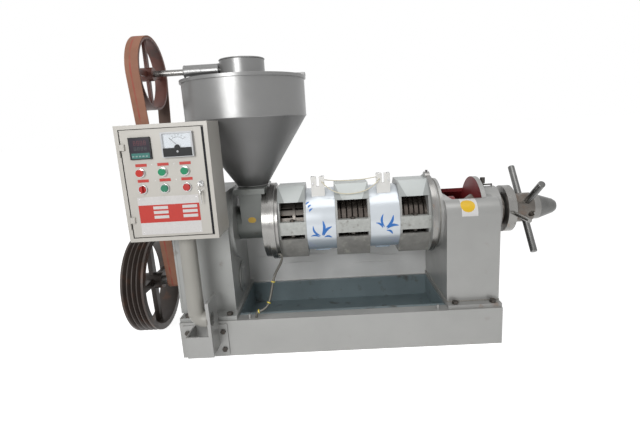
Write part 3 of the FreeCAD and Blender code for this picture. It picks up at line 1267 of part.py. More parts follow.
def ammeter():
    """Rectangular panel ammeter with an open dial, a lower cover and a round case behind the door."""
    piece = Piece("ammeter")
    front = DOOR_FRONT - S.meter_stand
    rim = S.meter_rim
    x = (S.meter_left, S.meter_left + S.meter_width)
    z = (S.meter_low, S.meter_low + S.meter_height)
    floor = front + S.meter_hollow
    pivot_x, pivot_z = needle_pivot()
    piece.block(x, (front, DOOR_FRONT), z)
    piece.block((x[0] + rim, x[1] - rim), (front, floor), (z[0] + S.meter_cover, z[1] - rim), cut=True)
    piece.rod("Y", (pivot_x, DOOR_FRONT, (z[0] + z[1]) / 2), S.meter_depth, S.meter_body)
    piece.rod("-Y", (pivot_x, floor, pivot_z), S.needle_wall * 3, S.needle_pin)


def ammeter_needle():
    """Pointer at its rest on the left of the dial."""
    piece = Piece("ammeter_needle")
    wall = S.needle_wall
    piece.rod("Z", (0, 0, 0), wall, S.needle_hub)
    piece.block((-S.needle_width / 2, S.needle_width / 2), (0, S.needle_length), (0, wall))
    piece.rod("Z", (0, 0, 0), wall, S.needle_pin + S.fit_gap, cut=True)
    pivot_x, pivot_z = needle_pivot()
    back = DOOR_FRONT - S.meter_stand + S.meter_hollow - wall
    upright = Rotation(Vector(1, 0, 0), 90)
    piece.place((pivot_x, back, pivot_z), upright.multiply(Rotation(Vector(0, 0, 1), 45)))


def lamp_parts(name, x, z, radius, stand):
    """A round fitting clamped to the door: bezel, front part and barrel behind."""
    bezel = primitive("Cylinder", f"{name}_bezel", (x, DOOR_FRONT, z), "-Y", Radius=S.bezel_radius,
                      Height=S.bezel_wall)
    front = primitive("Cylinder", f"{name}_front", (x, DOOR_FRONT, z), "-Y", Radius=radius, Height=stand)
    barrel = primitive("Cylinder", f"{name}_barrel", (x, DOOR_FRONT, z), "Y", Radius=S.bezel_barrel,
                       Height=S.bezel_depth)
    return join(name, [bezel, front, barrel])


def pilot_lamps():
    group("pilot_lamps", [lamp_parts(f"pilot_lamp_{i}", x, S.lamp_row, S.bezel_bore, S.lamp_stand)
                          for i, x in enumerate(row_places())])


def button_bezels():
    """Bezels with contact barrels for the selector and the two push-buttons."""
    bezels = []
    for i, x in enumerate(row_places()):
        body = lamp_parts(f"bezel_body_{i}", x, S.button_row, S.bezel_bore, S.bezel_wall)
        well = primitive("Cylinder", f"bezel_well_{i}", (x, DOOR_FRONT - S.bezel_floor, S.button_row), "-Y",
                         Radius=S.bezel_bore, Height=S.bezel_wall - S.bezel_floor)
        hole = primitive("Cylinder", f"bezel_hole_{i}", (x, DOOR_FRONT - S.bezel_floor, S.button_row), "Y",
                         Radius=S.button_stem + S.fit_gap, Height=S.bezel_floor + S.bezel_depth)
        bezels.append(carve(f"button_bezel_{i}", body, join(f"bezel_void_{i}", [well, hole])))
    group("button_bezels", bezels)


def push_button(label, x):
    """Cap in the bezel's well on a stem that reaches into the contact barrel."""
    cap_back = DOOR_FRONT - S.button_stand + S.button_cap
    cap = primitive("Cylinder", f"{label}_cap", (x, cap_back, S.button_row), "-Y",
                    Radius=S.bezel_bore - S.cap_gap, Height=S.button_cap)
    stem = primitive("Cylinder", f"{label}_stem", (x, cap_back, S.button_row), "Y", Radius=S.button_stem,
                     Height=S.bezel_depth - S.button_travel)
    join(label, [cap, stem])


def selector_knob():
    """Rotary selector: round base in the well with a raised grip across it."""
    piece = Piece("selector_knob")
    x = row_places()[0]
    radius = S.bezel_bore - S.cap_gap
    back = DOOR_FRONT - S.bezel_floor
    base_front = DOOR_FRONT - S.bezel_wall - S.bezel_floor
    piece.rod("-Y", (x, back, S.button_row), back - base_front, radius)
    piece.block((x - S.knob_grip / 2, x + S.knob_grip / 2), (DOOR_FRONT - S.knob_stand, base_front),
                (S.button_row - radius, S.button_row + radius))
    piece.rod("Y", (x, back, S.button_row), S.bezel_depth / 2, S.button_stem)


def cam_lock():
    """Quarter-turn lock with its key in it; the cam points down while the lock is open."""
    piece = Piece("cam_lock")
    x = S.lock_x
    z = S.lock_height
    piece.rod("-Y", (x, DOOR_FRONT, z), S.lock_stand, S.lock_radius)
    piece.rod("Y", (x, DOOR_FRONT, z), S.lock_depth, S.lock_barrel)
    cam_y = DOOR_FRONT + S.lock_depth
    piece.block((x - S.cam_width / 2, x + S.cam_width / 2), (cam_y - S.cam_wall, cam_y),
                (z - S.lock_cam, z + S.cam_width / 2))
    key_front = DOOR_FRONT - S.lock_stand - S.key_shank
    piece.block((x - S.key_wall / 2, x + S.key_wall / 2), (key_front, DOOR_FRONT - S.lock_stand),
                (z - S.key_blade / 2, z + S.key_blade / 2))
    piece.rod("X", (x - S.key_wall / 2, key_front, z), S.key_wall, S.key_bow)
    piece.rod("X", (x - S.key_wall / 2, key_front, z), S.key_wall, S.key_hole, cut=True)


def spare_key():
    """Spare key on the ring that hangs from the key in the lock."""
    y = DOOR_FRONT - S.lock_stand - S.key_shank
    top = S.lock_height - S.key_hole + S.key_wire + S.fit_gap
    z = top - S.key_ring * 2
    loop = primitive("Torus", "key_loop", (S.lock_x, y, top - S.key_ring), "Y",
                     Radius1=S.key_ring, Radius2=S.key_wire)
    bow = primitive("Cylinder", "spare_bow", (S.lock_x - S.key_wall / 2, y, z - S.key_bow / 2), "X",
                    Radius=S.key_bow, Height=S.key_wall)
    blade = primitive("Box", "spare_blade",
                      (S.lock_x - S.key_wall / 2, y - S.key_blade / 2,
                       z - S.key_bow / 2 - S.key_bow - S.key_length),
                      Length=S.key_wall, Width=S.key_blade, Height=S.key_length + S.key_bow)
    join("spare_key", [loop, bow, blade])


def mounting_plate():
    """Panel on four studs at the back of the control box."""
    piece = Piece("mounting_plate")
    inset = S.panel_inset
    x = (S.box_left + inset, S.box_left + S.box_width - inset)
    z = (S.box_bottom + inset, S.box_bottom + S.box_height - inset)
    back = S.box_front + S.box_depth - S.box_wall
    front = back - S.panel_stand - S.panel_wall
    piece.block(x, (front, front + S.panel_wall), z)
    for stud_x in (x[0] + inset, x[1] - inset):
        for stud_z in (z[0] + inset, z[1] - inset):
            piece.rod("Y", (stud_x, front + S.panel_wall, stud_z), S.panel_stand, S.panel_stud)


def contactors():
    """Two contactors and a circuit breaker on the mounting plate."""
    back = S.box_front + S.box_depth - S.box_wall - S.panel_stand - S.panel_wall
    spans = [(S.contactor_left + S.contactor_pitch * i, S.contactor_width) for i in range(2)]
    spans.append((S.breaker_left, S.breaker_width))
    group("contactors", [
        primitive("Box", f"switchgear_{i}", (left, back - S.contactor_depth, S.contactor_low), Length=width,
                  Width=S.contactor_depth, Height=S.contactor_height)
        for i, (left, width) in enumerate(spans)])


def cord(label, route, radius):
    """A round cord of straight runs joined by arcs, along a route of hand-chosen points."""
    points = [Vector(*point) for point in route]
    edges = []
    start = points[0]
    for before, corner, after in zip(points, points[1:], points[2:]):
        back = (before - corner).normalize()
        ahead = (after - corner).normalize()
        half_turn = (math.pi - back.getAngle(ahead)) / 2
        trim = 0.45 * min((before - corner).Length, (after - corner).Length)
        bend = trim / math.tan(half_turn)
        entry = corner + back * trim
        leave = corner + ahead * trim
        inward = (back + ahead).normalize()
        middle = corner + inward * (bend / math.cos(half_turn) - bend)
        edges.append(Part.LineSegment(start, entry).toShape())
        edges.append(Part.Arc(entry, middle, leave).toShape())
        start = leave
    edges.append(Part.LineSegment(start, points[-1]).toShape())
    circle = Part.Wire(Part.Circle(points[0], points[1] - points[0], number(radius)).toShape())
    shaped(label, Part.Wire(edges).makePipeShell([circle], True, False))


LEAD_ROUTE = [(-234, -100, 371), (-216, -100, 371), (-222, -118, 340), (-250, -150, 300), (-262, -162, 250),
              (-270, -176, 212), (-282, -192, 186), (-304, -199, 174), (-326, -201, 170), (-326, -201, 148)]
TIED_RUNS = (3, 5, 7)


def cords():
    front = -number(S.terminal_front)
    back = -number(S.terminal_back)
    cord("heater_link_front", [
        (-42, front, 652), (-42, front - 10, 652), (-24, -87, 632), (8, -92, 610), (49, -94, 600),
        (96, -94, 602), (136, -92, 612), (168, -87, 632), (186, front - 10, 652), (186, front, 652)],
        S.link_radius)
    cord("heater_link_rear", [
        (-42, back, 655), (-42, back + 12, 655), (-10, -26, 649), (40, -24, 644), (104, -24, 644),
        (154, -26, 649), (186, back + 12, 655), (186, back, 655)], S.link_radius)
    cord("sensor_lead", LEAD_ROUTE, S.lead_radius)


def lead_ties():
    """Clips round the sensor lead, in the middle of three of its runs."""
    clips = []
    for run in TIED_RUNS:
        start = Vector(*LEAD_ROUTE[run])
        along = Vector(*LEAD_ROUTE[run + 1]) - start
        turn = Rotation(Vector(0, 0, 1), along)
        at = start + along * 0.5 - along.normalize() * (number(S.tie_width) / 2)
        clips.append(ring(f"lead_tie_{run}", turn, (at.x, at.y, at.z), S.tie_width, S.tie_radius,
                          S.lead_radius + S.fit_gap))
    group("lead_ties", clips)


def splash_guard():
    """Folded sheet behind the tray, lower towards the post."""
    piece = Piece("splash_guard")
    y = S.guard_shift
    wall = S.guard_wall
    fold = y + S.guard_crease
    length = S.tray_right - S.tray_left
    piece.pad("YZ", [(y, S.base_height), (y + wall, S.base_height), (fold + wall, S.guard_mid),
                     (y + wall, S.guard_high), (y, S.guard_high), (fold, S.guard_mid)], S.tray_left, length)
    piece.pad("XZ", [(S.tray_left, S.guard_high), (S.tray_right, S.guard_low), (S.tray_right, S.guard_high)],
              -fold - wall, fold + wall, cut=True)


BUILDERS = (
    base_frame, oil_tray, frame_bolts, gearbox_housing, gearbox_cover, shaft_bearings, input_bearing_cover,
    input_shaft, intermediate_shaft, gear_wheels, v_belt_pulley, feeder_drive_pulley, feeder_pulley,
    flat_belt,
    feed_housing, hopper, hopper_crossbar, bevel_gear_case, feeder_shaft_tube, feeder_shaft, bevel_gear,
    agitator,
    cage_halves, cage_bolts, press_bars, press_rings, heater_bands, terminal_blocks, cords, lead_ties,
    screw_shaft, press_worms, bearing_post, choke_sleeve, thrust_bearing, adjusting_screw, capstan_bars,
    lock_nut,
    grease_cup, conduit_pipe, conduit_bracket, control_box, box_door, temperature_controller, ammeter,
    ammeter_needle, pilot_lamps, button_bezels, selector_knob, cam_lock, spare_key, mounting_plate,
    contactors,
    splash_guard,
)
for build in BUILDERS:
    build()
push_button("start_button", row_places()[1])
push_button("stop_button", row_places()[2])
doc.recompute()

NODES = (
    "base_frame", "oil_tray", "frame_bolts", "gearbox_housing", "gearbox_cover", "shaft_bearings",
    "input_bearing_cover", "input_shaft", "intermediate_shaft", "intermediate_gear", "main_gear",
    "v_belt_pulley", "feeder_drive_pulley", "feeder_pulley", "flat_belt", "feed_housing", "hopper",
    "hopper_crossbar", "bevel_gear_case", "feeder_shaft_tube", "feeder_shaft", "bevel_gear", "agitator",
    "upper_cage", "lower_cage", "cage_bolts", "press_bars", "press_rings", "heater_bands", "terminal_blocks",
    "heater_link_front", "heater_link_rear", "sensor_lead", "lead_ties", "screw_shaft", "press_worms",
    "bearing_post", "choke_sleeve", "thrust_bearing", "adjusting_screw", "capstan_bars", "lock_nut",
    "grease_cup", "conduit_pipe", "conduit_bracket", "control_box", "box_door", "temperature_controller",
    "ammeter", "ammeter_needle", "pilot_lamps", "button_bezels", "selector_knob", "start_button",
    "stop_button", "cam_lock", "spare_key", "mounting_plate", "contactors", "splash_guard",
)
for made in doc.Objects:
    if "Invalid" in made.State or "Error" in made.State:
        raise RuntimeError(f"{made.Name} did not build: {made.State}")
for node in NODES:
    shape = doc.getObject(node).Shape
    if shape.isNull() or not shape.isValid() or not shape.Solids:
        raise RuntimeError(f"{node} has no valid shape")

os.makedirs("parts", exist_ok=True)
for node in NODES:
    doc.getObject(node).Shape.exportStep(f"parts/{node}.step")
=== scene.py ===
"""Screw oil press: paint, machined faces, belts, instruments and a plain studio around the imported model.

Lengths in this file are millimetres in the row frame and become metres as they enter a mesh.
"""

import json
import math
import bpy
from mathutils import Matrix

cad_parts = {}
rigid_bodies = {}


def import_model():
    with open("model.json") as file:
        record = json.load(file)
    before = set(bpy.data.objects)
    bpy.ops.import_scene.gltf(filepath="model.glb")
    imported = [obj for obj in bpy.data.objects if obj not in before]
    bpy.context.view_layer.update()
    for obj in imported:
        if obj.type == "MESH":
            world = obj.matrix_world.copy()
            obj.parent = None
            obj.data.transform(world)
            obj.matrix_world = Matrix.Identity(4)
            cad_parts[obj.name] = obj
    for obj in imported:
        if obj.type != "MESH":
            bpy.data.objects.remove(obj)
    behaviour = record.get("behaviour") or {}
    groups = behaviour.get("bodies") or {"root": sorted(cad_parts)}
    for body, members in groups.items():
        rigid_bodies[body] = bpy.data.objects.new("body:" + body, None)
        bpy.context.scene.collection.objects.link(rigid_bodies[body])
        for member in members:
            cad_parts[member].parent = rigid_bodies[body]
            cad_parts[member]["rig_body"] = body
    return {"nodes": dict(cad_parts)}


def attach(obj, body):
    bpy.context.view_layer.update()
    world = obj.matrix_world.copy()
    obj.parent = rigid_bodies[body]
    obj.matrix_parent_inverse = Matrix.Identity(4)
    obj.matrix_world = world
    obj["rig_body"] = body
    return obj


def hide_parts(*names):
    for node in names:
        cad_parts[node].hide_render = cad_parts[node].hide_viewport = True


bl_info = {
    "name": "Screw oil press",
    "version": (1, 0, 0),
    "blender": (4, 5, 0),
    "location": "3D View > Sidebar > Oil press",
    "description": "Finishes the packed screw oil press and sets it in a plain studio",
    "category": "Object",
}

import bmesh
import bpy
from bpy.props import FloatProperty, FloatVectorProperty, PointerProperty
from bpy.types import Operator, Panel, PropertyGroup
from mathutils import Matrix, Vector

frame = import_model()
MM = 0.001


# ---------------------------------------------------------------- sizes and colours a user would change

def paint(name, description, colour):
    """A colour setting for the panel."""
    return FloatVectorProperty(name=name, description=description, default=colour, subtype="COLOR",
                               size=3, min=0, max=1)


def length(name, description, millimetres):
    """A length setting for the panel, kept in metres."""
    return FloatProperty(name=name, description=description, default=millimetres * MM, unit="LENGTH", min=0)


class PressColours(PropertyGroup):
    """Paints and finishes of the press."""
    castings: paint("Castings", "Grey enamel of the gearbox and the cage", (0.34, 0.345, 0.335))
    throat: paint("Feed housing", "Darker green-grey enamel of the feed housing", (0.17, 0.18, 0.17))
    post: paint("Post and base", "Silver enamel of the bearing post and the base frame", (0.36, 0.36, 0.35))
    hopper: paint("Hopper", "Aluminium paint of the hopper and its drive", (0.23, 0.23, 0.228))
    tray: paint("Oil tray", "Blue-grey paint of the tray", (0.17, 0.215, 0.23))
    box: paint("Control box", "Ivory powder coat of the control box", (0.50, 0.48, 0.44))
    conduit: paint("Conduit", "Grey paint of the conduit", (0.34, 0.33, 0.30))
    panels: paint("Window panels", "Pale sheet over the cage windows", (0.52, 0.55, 0.54))
    labels: paint("Labels", "Red of the label plates", (0.46, 0.025, 0.015))
    belt: paint("Flat belt", "Woven outer face of the flat belt", (0.26, 0.12, 0.075))
    sheave: paint("V-belt pulley", "Dark iron of the big pulley", (0.055, 0.042, 0.036))
    film: paint("Heater film", "Protective film on the heater jackets", (0.62, 0.66, 0.70))
    motif: paint("Film strokes", "Blue strokes printed on the film", (0.02, 0.16, 0.52))


class PressSizes(PropertyGroup):
    """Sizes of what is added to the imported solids."""
    edge: length("Edge radius", "Rounding of cast and machined edges", 1.2)
    sheet_edge: length("Sheet edge", "Rounding of folded sheet edges", 0.6)
    weld: length("Weld bead", "Radius of the weld beads", 3)
    label_wall: length("Label thickness", "Thickness of plates and labels on the door", 0.6)


class PressStudio(PropertyGroup):
    """Light of the studio."""
    key: FloatProperty(name="Key light", description="Power of the left softbox in watts", default=43, min=0)
    top: FloatProperty(name="Top light", description="Power of the overhead softbox in watts", default=24, min=0)
    sky: FloatProperty(name="Sky", description="Strength of the even light from all round", default=0.21, min=0)


def colours():
    return bpy.context.scene.press_colours


def sizes():
    return bpy.context.scene.press_sizes


# ---------------------------------------------------------------- finishes

def node(tree, kind, **inputs):
    """Adds a shader node and sets the given inputs by name."""
    made = tree.nodes.new(kind)
    for name, value in inputs.items():
        made.inputs[name.replace("_", " ")].default_value = value
    return made


def noise(tree, place, size, detail=3, stretch=(1, 1, 1)):
    """Noise of about that grain size in metres, drawn out along the axes by stretch."""
    spread = node(tree, "ShaderNodeMapping", Scale=[1 / s for s in stretch])
    tree.links.new(place, spread.inputs["Vector"])
    made = node(tree, "ShaderNodeTexNoise", Scale=1 / size, Detail=detail, Roughness=0.55)
    tree.links.new(spread.outputs["Vector"], made.inputs["Vector"])
    return made.outputs["Fac"]


def ramp(tree, source, low, high, dark, light):
    """Maps a factor to a colour between dark and light."""
    made = tree.nodes.new("ShaderNodeValToRGB")
    made.color_ramp.elements[0].position = low
    made.color_ramp.elements[0].color = (*dark, 1)
    made.color_ramp.elements[1].position = high
    made.color_ramp.elements[1].color = (*light, 1)
    tree.links.new(source, made.inputs["Fac"])
    return made.outputs["Color"]


def blend_colour(tree, factor, first, second):
    """Mixes two colour outputs by a factor output."""
    made = tree.nodes.new("ShaderNodeMix")
    made.data_type = "RGBA"
    tree.links.new(factor, made.inputs[0])
    tree.links.new(first, made.inputs[6])
    tree.links.new(second, made.inputs[7])
    return made.outputs[2]


def spread(tree, source, low, high):
    """Maps a noise factor to the range from low to high."""
    made = node(tree, "ShaderNodeMapRange", From_Min=0.3, From_Max=0.7, To_Min=low, To_Max=high)
    tree.links.new(source, made.inputs["Value"])
    return made.outputs["Result"]


def shade(colour, factor):
    """The colour made lighter or darker."""
    return tuple(min(1.0, c * factor) for c in colour)


def finish(name, colour, roughness, metallic=0.0, mottle=0.06, mottle_size=0.2, gloss=0.05, grain=0.0,
           grain_size=0.004, stretch=(1, 1, 1), stain=None, stain_size=0.06, stain_from=0.58, stain_to=0.75,
           layers=None, **sockets):
    """A coat with slow mottling, uneven gloss, fine grain and, where asked, stains. Made once per name."""
    found = bpy.data.materials.get(name)
    if found:
        return found
    material = bpy.data.materials.new(name)
    material.use_nodes = True
    tree = material.node_tree
    tree.nodes.clear()
    shader = node(tree, "ShaderNodeBsdfPrincipled", Metallic=metallic, **sockets)
    output = tree.nodes.new("ShaderNodeOutputMaterial")
    tree.links.new(shader.outputs["BSDF"], output.inputs["Surface"])
    place = tree.nodes.new("ShaderNodeTexCoord").outputs["Object"]
    tone = ramp(tree, noise(tree, place, mottle_size, 4, stretch), 0.3, 0.7, shade(colour, 1 - mottle),
                shade(colour, 1 + mottle))
    if stain:
        where = ramp(tree, noise(tree, place, stain_size, 6), stain_from, stain_to, (0, 0, 0), (1, 1, 1))
        tint = ramp(tree, noise(tree, place, stain_size / 4, 3), 0.3, 0.7, shade(stain, 0.7), shade(stain, 1.2))
        tone = blend_colour(tree, where, tone, tint)
    if layers:
        tone = layers(tree, place, tone)
    tree.links.new(tone, shader.inputs["Base Color"])
    tree.links.new(spread(tree, noise(tree, place, mottle_size / 3, 5, stretch), max(0.02, roughness - gloss),
                          roughness + gloss), shader.inputs["Roughness"])
    if grain:
        bump = node(tree, "ShaderNodeBump", Strength=1.0, Distance=grain * MM)
        tree.links.new(noise(tree, place, grain_size, 3, stretch), bump.inputs["Height"])
        tree.links.new(bump.outputs["Normal"], shader.inputs["Normal"])
    return material


def casting_paint():
    return finish("casting_paint", colours().castings, 0.42, 0.25, grain=0.25, grain_size=0.006,
                  stain=(0.16, 0.13, 0.10), stain_from=0.64, stain_to=0.82)


def throat_paint():
    return finish("throat_paint", colours().throat, 0.38, 0.2, grain=0.3, grain_size=0.008, mottle=0.10,
                  stain=(0.09, 0.085, 0.075), stain_from=0.6, stain_to=0.8)


def panel_paint():
    return finish("panel_paint", colours().panels, 0.42, 0.1, mottle=0.05, grain=0.4, grain_size=0.03,
                  stain=(0.30, 0.30, 0.28), stain_from=0.62, stain_to=0.8)


def flap_shaded_paint():
    # The window panels' paint darkened: painted shade on the folded flaps.
    return finish("flap_shaded_paint", shade(colours().panels, 0.62), 0.45, 0.1, mottle=0.08, grain=0.3)


def strip_paint():
    return finish("strip_paint", (0.42, 0.43, 0.41), 0.45, 0.2, mottle=0.10, mottle_size=0.01, grain=0.5,
                  grain_size=0.004, stain=(0.20, 0.19, 0.17), stain_size=0.02, stain_from=0.58, stain_to=0.72)


def hip_paint():
    return finish("hip_paint", (0.26, 0.255, 0.24), 0.45, 0.25, mottle=0.16, mottle_size=0.04, grain=0.4,
                  grain_size=0.01, stain=(0.36, 0.35, 0.32), stain_size=0.05, stain_from=0.55, stain_to=0.7)


def foot_paint():
    return finish("foot_paint", shade(colours().post, 0.85), 0.45, 0.25, mottle=0.08, grain=0.2,
                  stain=(0.20, 0.11, 0.06), stain_size=0.05, stain_from=0.56, stain_to=0.74)


def conduit_paint():
    return finish("conduit_paint", colours().conduit, 0.45, 0.05, mottle=0.05, grain=0.12, grain_size=0.003,
                  stain=(0.24, 0.22, 0.19), stain_from=0.66, stain_to=0.8)


def weld_metal():
    return finish("weld_metal", (0.22, 0.21, 0.19), 0.42, 0.4, mottle=0.2, mottle_size=0.01, grain=0.4,
                  grain_size=0.003)


def plain(name, colour, roughness=0.35, **sockets):
    """A printed or moulded colour with a barely uneven surface."""
    return finish(name, colour, roughness, mottle=0.03, mottle_size=0.01, gloss=0.03, grain=0.01,
                  grain_size=0.001, **sockets)


def post_paint():
    return finish("post_paint", colours().post, 0.34, 0.35, mottle=0.05, grain=0.06, grain_size=0.02,
                  stain=(0.30, 0.27, 0.24), stain_from=0.66, stain_to=0.85)


def hopper_paint():
    return finish("hopper_paint", colours().hopper, 0.34, 0.75, mottle=0.05, grain=0.05, grain_size=0.03)


def cone_shaded_paint():
    """The hopper's paint with painted shade: darker on the cone, which faces down."""
    return finish("cone_shaded_paint", shade(colours().hopper, 0.72), 0.44, 0.45, mottle=0.06, grain=0.06,
                  grain_size=0.03)


def red_primer():
    return finish("red_primer", (0.17, 0.012, 0.014), 0.5, mottle=0.15, grain=0.2)


def tray_paint():
    return finish("tray_paint", colours().tray, 0.45, 0.1, mottle=0.12, stain=(0.08, 0.07, 0.06))


def creased_sheet():
    return finish("creased_sheet", (0.70, 0.70, 0.69), 0.38, 0.15, mottle=0.08, grain=0.3, grain_size=0.05)


def box_enamel():
    return finish("box_enamel", colours().box, 0.38, 0.0, mottle=0.03, grain=0.04, grain_size=0.0015)


def turned_steel():
    return finish("turned_steel", (0.26, 0.255, 0.245), 0.27, 0.9, mottle=0.10, gloss=0.08, grain=0.02,
                  grain_size=0.0012, stretch=(0.3, 6, 6), stain=(0.22, 0.14, 0.09), stain_from=0.62, stain_to=0.8)


def worn_steel():
    return finish("worn_steel", (0.15, 0.137, 0.124), 0.34, 0.85, mottle=0.2, mottle_size=0.05, gloss=0.1,
                  grain=0.08, grain_size=0.003, stain=(0.12, 0.07, 0.045), stain_from=0.5, stain_to=0.7)


def oiled_steel():
    return finish("oiled_steel", (0.10, 0.085, 0.075), 0.28, 0.8, mottle=0.2, mottle_size=0.03, gloss=0.08)


def bar_steel():
    """Scuffed steel of the capstan bars and the nose."""
    return finish("bar_steel", (0.150, 0.150, 0.146), 0.27, 0.85, mottle=0.14, mottle_size=0.03, gloss=0.06,
                  grain=0.006, grain_size=0.004)


def gear_steel():
    return finish("gear_steel", (0.34, 0.33, 0.32), 0.32, 0.9, mottle=0.1)


def black_oxide():
    return finish("black_oxide", (0.07, 0.062, 0.055), 0.42, 0.6, mottle=0.2, mottle_size=0.02,
                  stain=(0.13, 0.07, 0.04), stain_size=0.02)


def sheave_iron():
    return finish("sheave_iron", colours().sheave, 0.42, 0.2, mottle=0.2, grain=0.2, grain_size=0.005,
                  stain=(0.12, 0.055, 0.03), stain_from=0.55, stain_to=0.8)


def feeder_iron():
    return finish("feeder_iron", (0.13, 0.045, 0.033), 0.42, 0.1, mottle=0.15, grain=0.2, grain_size=0.006,
                  stain=(0.05, 0.035, 0.03), stain_from=0.5, stain_to=0.75)


def belt_weave():
    def striped(tree, place, tone):
        """A worn red line along the middle of the belt; the dark inner face is the lining, picked by belt_face."""
        across = tree.nodes.new("ShaderNodeSeparateXYZ")
        tree.links.new(place, across.inputs[0])
        band = node(tree, "ShaderNodeMath")
        band.operation = "COMPARE"
        tree.links.new(across.outputs["X"], band.inputs[0])
        band.inputs[1].default_value, band.inputs[2].default_value = -0.709, 0.003
        worn = node(tree, "ShaderNodeMath")
        worn.operation = "MULTIPLY"
        tree.links.new(band.outputs[0], worn.inputs[0])
        tree.links.new(spread(tree, noise(tree, place, 0.03, 4), 0.1, 0.9), worn.inputs[1])
        red = node(tree, "ShaderNodeRGB")
        red.outputs[0].default_value = (0.33, 0.05, 0.04, 1)
        return blend_colour(tree, worn.outputs[0], tone, red.outputs[0])

    return finish("belt_weave", colours().belt, 0.75, 0.0, mottle=0.14, mottle_size=0.08, grain=0.15,
                  grain_size=0.0015, stain=(0.10, 0.07, 0.05), stain_size=0.12, stain_from=0.6, stain_to=0.8,
                  layers=striped)


def belt_lining():
    return finish("belt_lining", (0.10, 0.06, 0.045), 0.7, 0.0, mottle=0.2, mottle_size=0.05, grain=0.12,
                  grain_size=0.002)


def heater_film():
    def tray_reflection(tree, place, tone):
        """Painted reflection of the blue-grey tray: bluer and darker where the jacket turns down towards it."""
        height = tree.nodes.new("ShaderNodeSeparateXYZ")
        tree.links.new(place, height.inputs[0])
        low = node(tree, "ShaderNodeMapRange", From_Min=0.350, From_Max=0.440, To_Min=0.85, To_Max=0.0)
        tree.links.new(height.outputs["Z"], low.inputs["Value"])
        # Blue-grey colour of the painted tray reflection.
        reflected_tray = node(tree, "ShaderNodeRGB")
        reflected_tray.outputs[0].default_value = (0.20, 0.30, 0.40, 1)
        return blend_colour(tree, low.outputs["Result"], tone, reflected_tray.outputs[0])

    return finish("heater_film", colours().film, 0.22, 0.25, mottle=0.03, grain=0.06, grain_size=0.04,
                  layers=tray_reflection)


def glazed_ceramic():
    return finish("glazed_ceramic", (0.80, 0.79, 0.76), 0.2, mottle=0.03)


def glass_sleeve():
    return finish("glass_sleeve", (0.72, 0.67, 0.52), 0.7, mottle=0.08, grain=0.1, grain_size=0.001)


def braided_lead():
    return finish("braided_lead", (0.12, 0.115, 0.10), 0.45, 0.4, mottle=0.1, grain=0.15, grain_size=0.0012)


def tie_plastic():
    return finish("tie_plastic", (0.75, 0.60, 0.08), 0.35)


def instrument_plastic():
    return finish("instrument_plastic", (0.010, 0.0105, 0.011), 0.35, mottle=0.1, grain=0.03, grain_size=0.0008,
                  Specular_IOR_Level=0.2)


def meter_case():
    return finish("meter_case", (0.50, 0.51, 0.52), 0.2, mottle=0.03)


def window_pane():
    """Clear cover of the ammeter's dial."""
    return plain("window_pane", (0.9, 0.93, 0.95), 0.06, Alpha=0.14)


def chrome():
    return finish("chrome", (0.62, 0.62, 0.62), 0.12, 1.0, mottle=0.02, gloss=0.03)


def green_lens():
    return finish("green_lens", (0.01, 0.24, 0.11), 0.12, mottle=0.05, gloss=0.02)


def red_lens():
    return finish("red_lens", (0.50, 0.025, 0.015), 0.12, mottle=0.05, gloss=0.02)


def green_button():
    return finish("green_button", (0.01, 0.17, 0.09), 0.3, mottle=0.05)


def red_button():
    return finish("red_button", (0.42, 0.015, 0.012), 0.3, mottle=0.05)


def zinc_plate():
    return finish("zinc_plate", (0.42, 0.43, 0.40), 0.35, 0.9, mottle=0.15, mottle_size=0.03)


# ---------------------------------------------------------------- shaping

def shown(name, bm, materials, body, sharp=32, replaces=(), bevel=0.0, segments=2):
    """Turns a finished bmesh into a piece that rides on a body of the press."""
    for edge in bm.edges:
        edge.smooth = len(edge.link_faces) == 2 and edge.calc_face_angle(0) < math.radians(sharp)
    for face in bm.faces:
        face.smooth = True
    mesh = bpy.data.meshes.new(name)
    bm.to_mesh(mesh)
    bm.free()
    for material in materials:
        mesh.materials.append(material)
    piece = bpy.data.objects.new(name, mesh)
    bpy.context.scene.collection.objects.link(piece)
    if bevel:
        rounding = piece.modifiers.new("edges", "BEVEL")
        rounding.width = bevel
        rounding.segments = segments
        rounding.limit_method = "ANGLE"
        rounding.angle_limit = math.radians(sharp)
        rounding.harden_normals = True
    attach(piece, body)
    if replaces:
        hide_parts(*replaces)
    return piece


def dress(name, materials, edge=0.0, sharp=32, zone=None, segments=2):
    """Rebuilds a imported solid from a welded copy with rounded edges. zone(centre, normal), in millimetres,
    picks which of the materials a face takes."""
    source = frame["nodes"][name]
    bm = bmesh.new()
    bm.from_mesh(source.data)
    bmesh.ops.remove_doubles(bm, verts=bm.verts, dist=2e-6)
    bmesh.ops.dissolve_limit(bm, angle_limit=math.radians(0.5), verts=bm.verts, edges=bm.edges)
    for face in bm.faces:
        face.material_index = zone(face.calc_center_median() / MM, face.normal) if zone else 0
    body = source["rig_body"]
    return shown(f"{name}_finished", bm, materials, body, sharp, (name,), edge, segments)


def block(bm, x, y, z, index=0):
    """A box between pairs of planes."""
    centre = Vector((sum(x) / 2, sum(y) / 2, sum(z) / 2)) * MM
    size = Vector((x[1] - x[0], y[1] - y[0], z[1] - z[0])) * MM
    made = bmesh.ops.create_cube(bm, size=1, matrix=Matrix.Translation(centre) @ Matrix.Diagonal((*size, 1)))
    return mark(made["verts"], index)


def mark(verts, index):
    """Gives the faces that the vertices carry a material."""
    for face in {f for v in verts for f in v.link_faces}:
        face.material_index = index
    return verts


TURN = {"X": Matrix.Rotation(math.pi / 2, 4, "Y"), "Y": Matrix.Rotation(-math.pi / 2, 4, "X"),
        "Z": Matrix.Identity(4)}


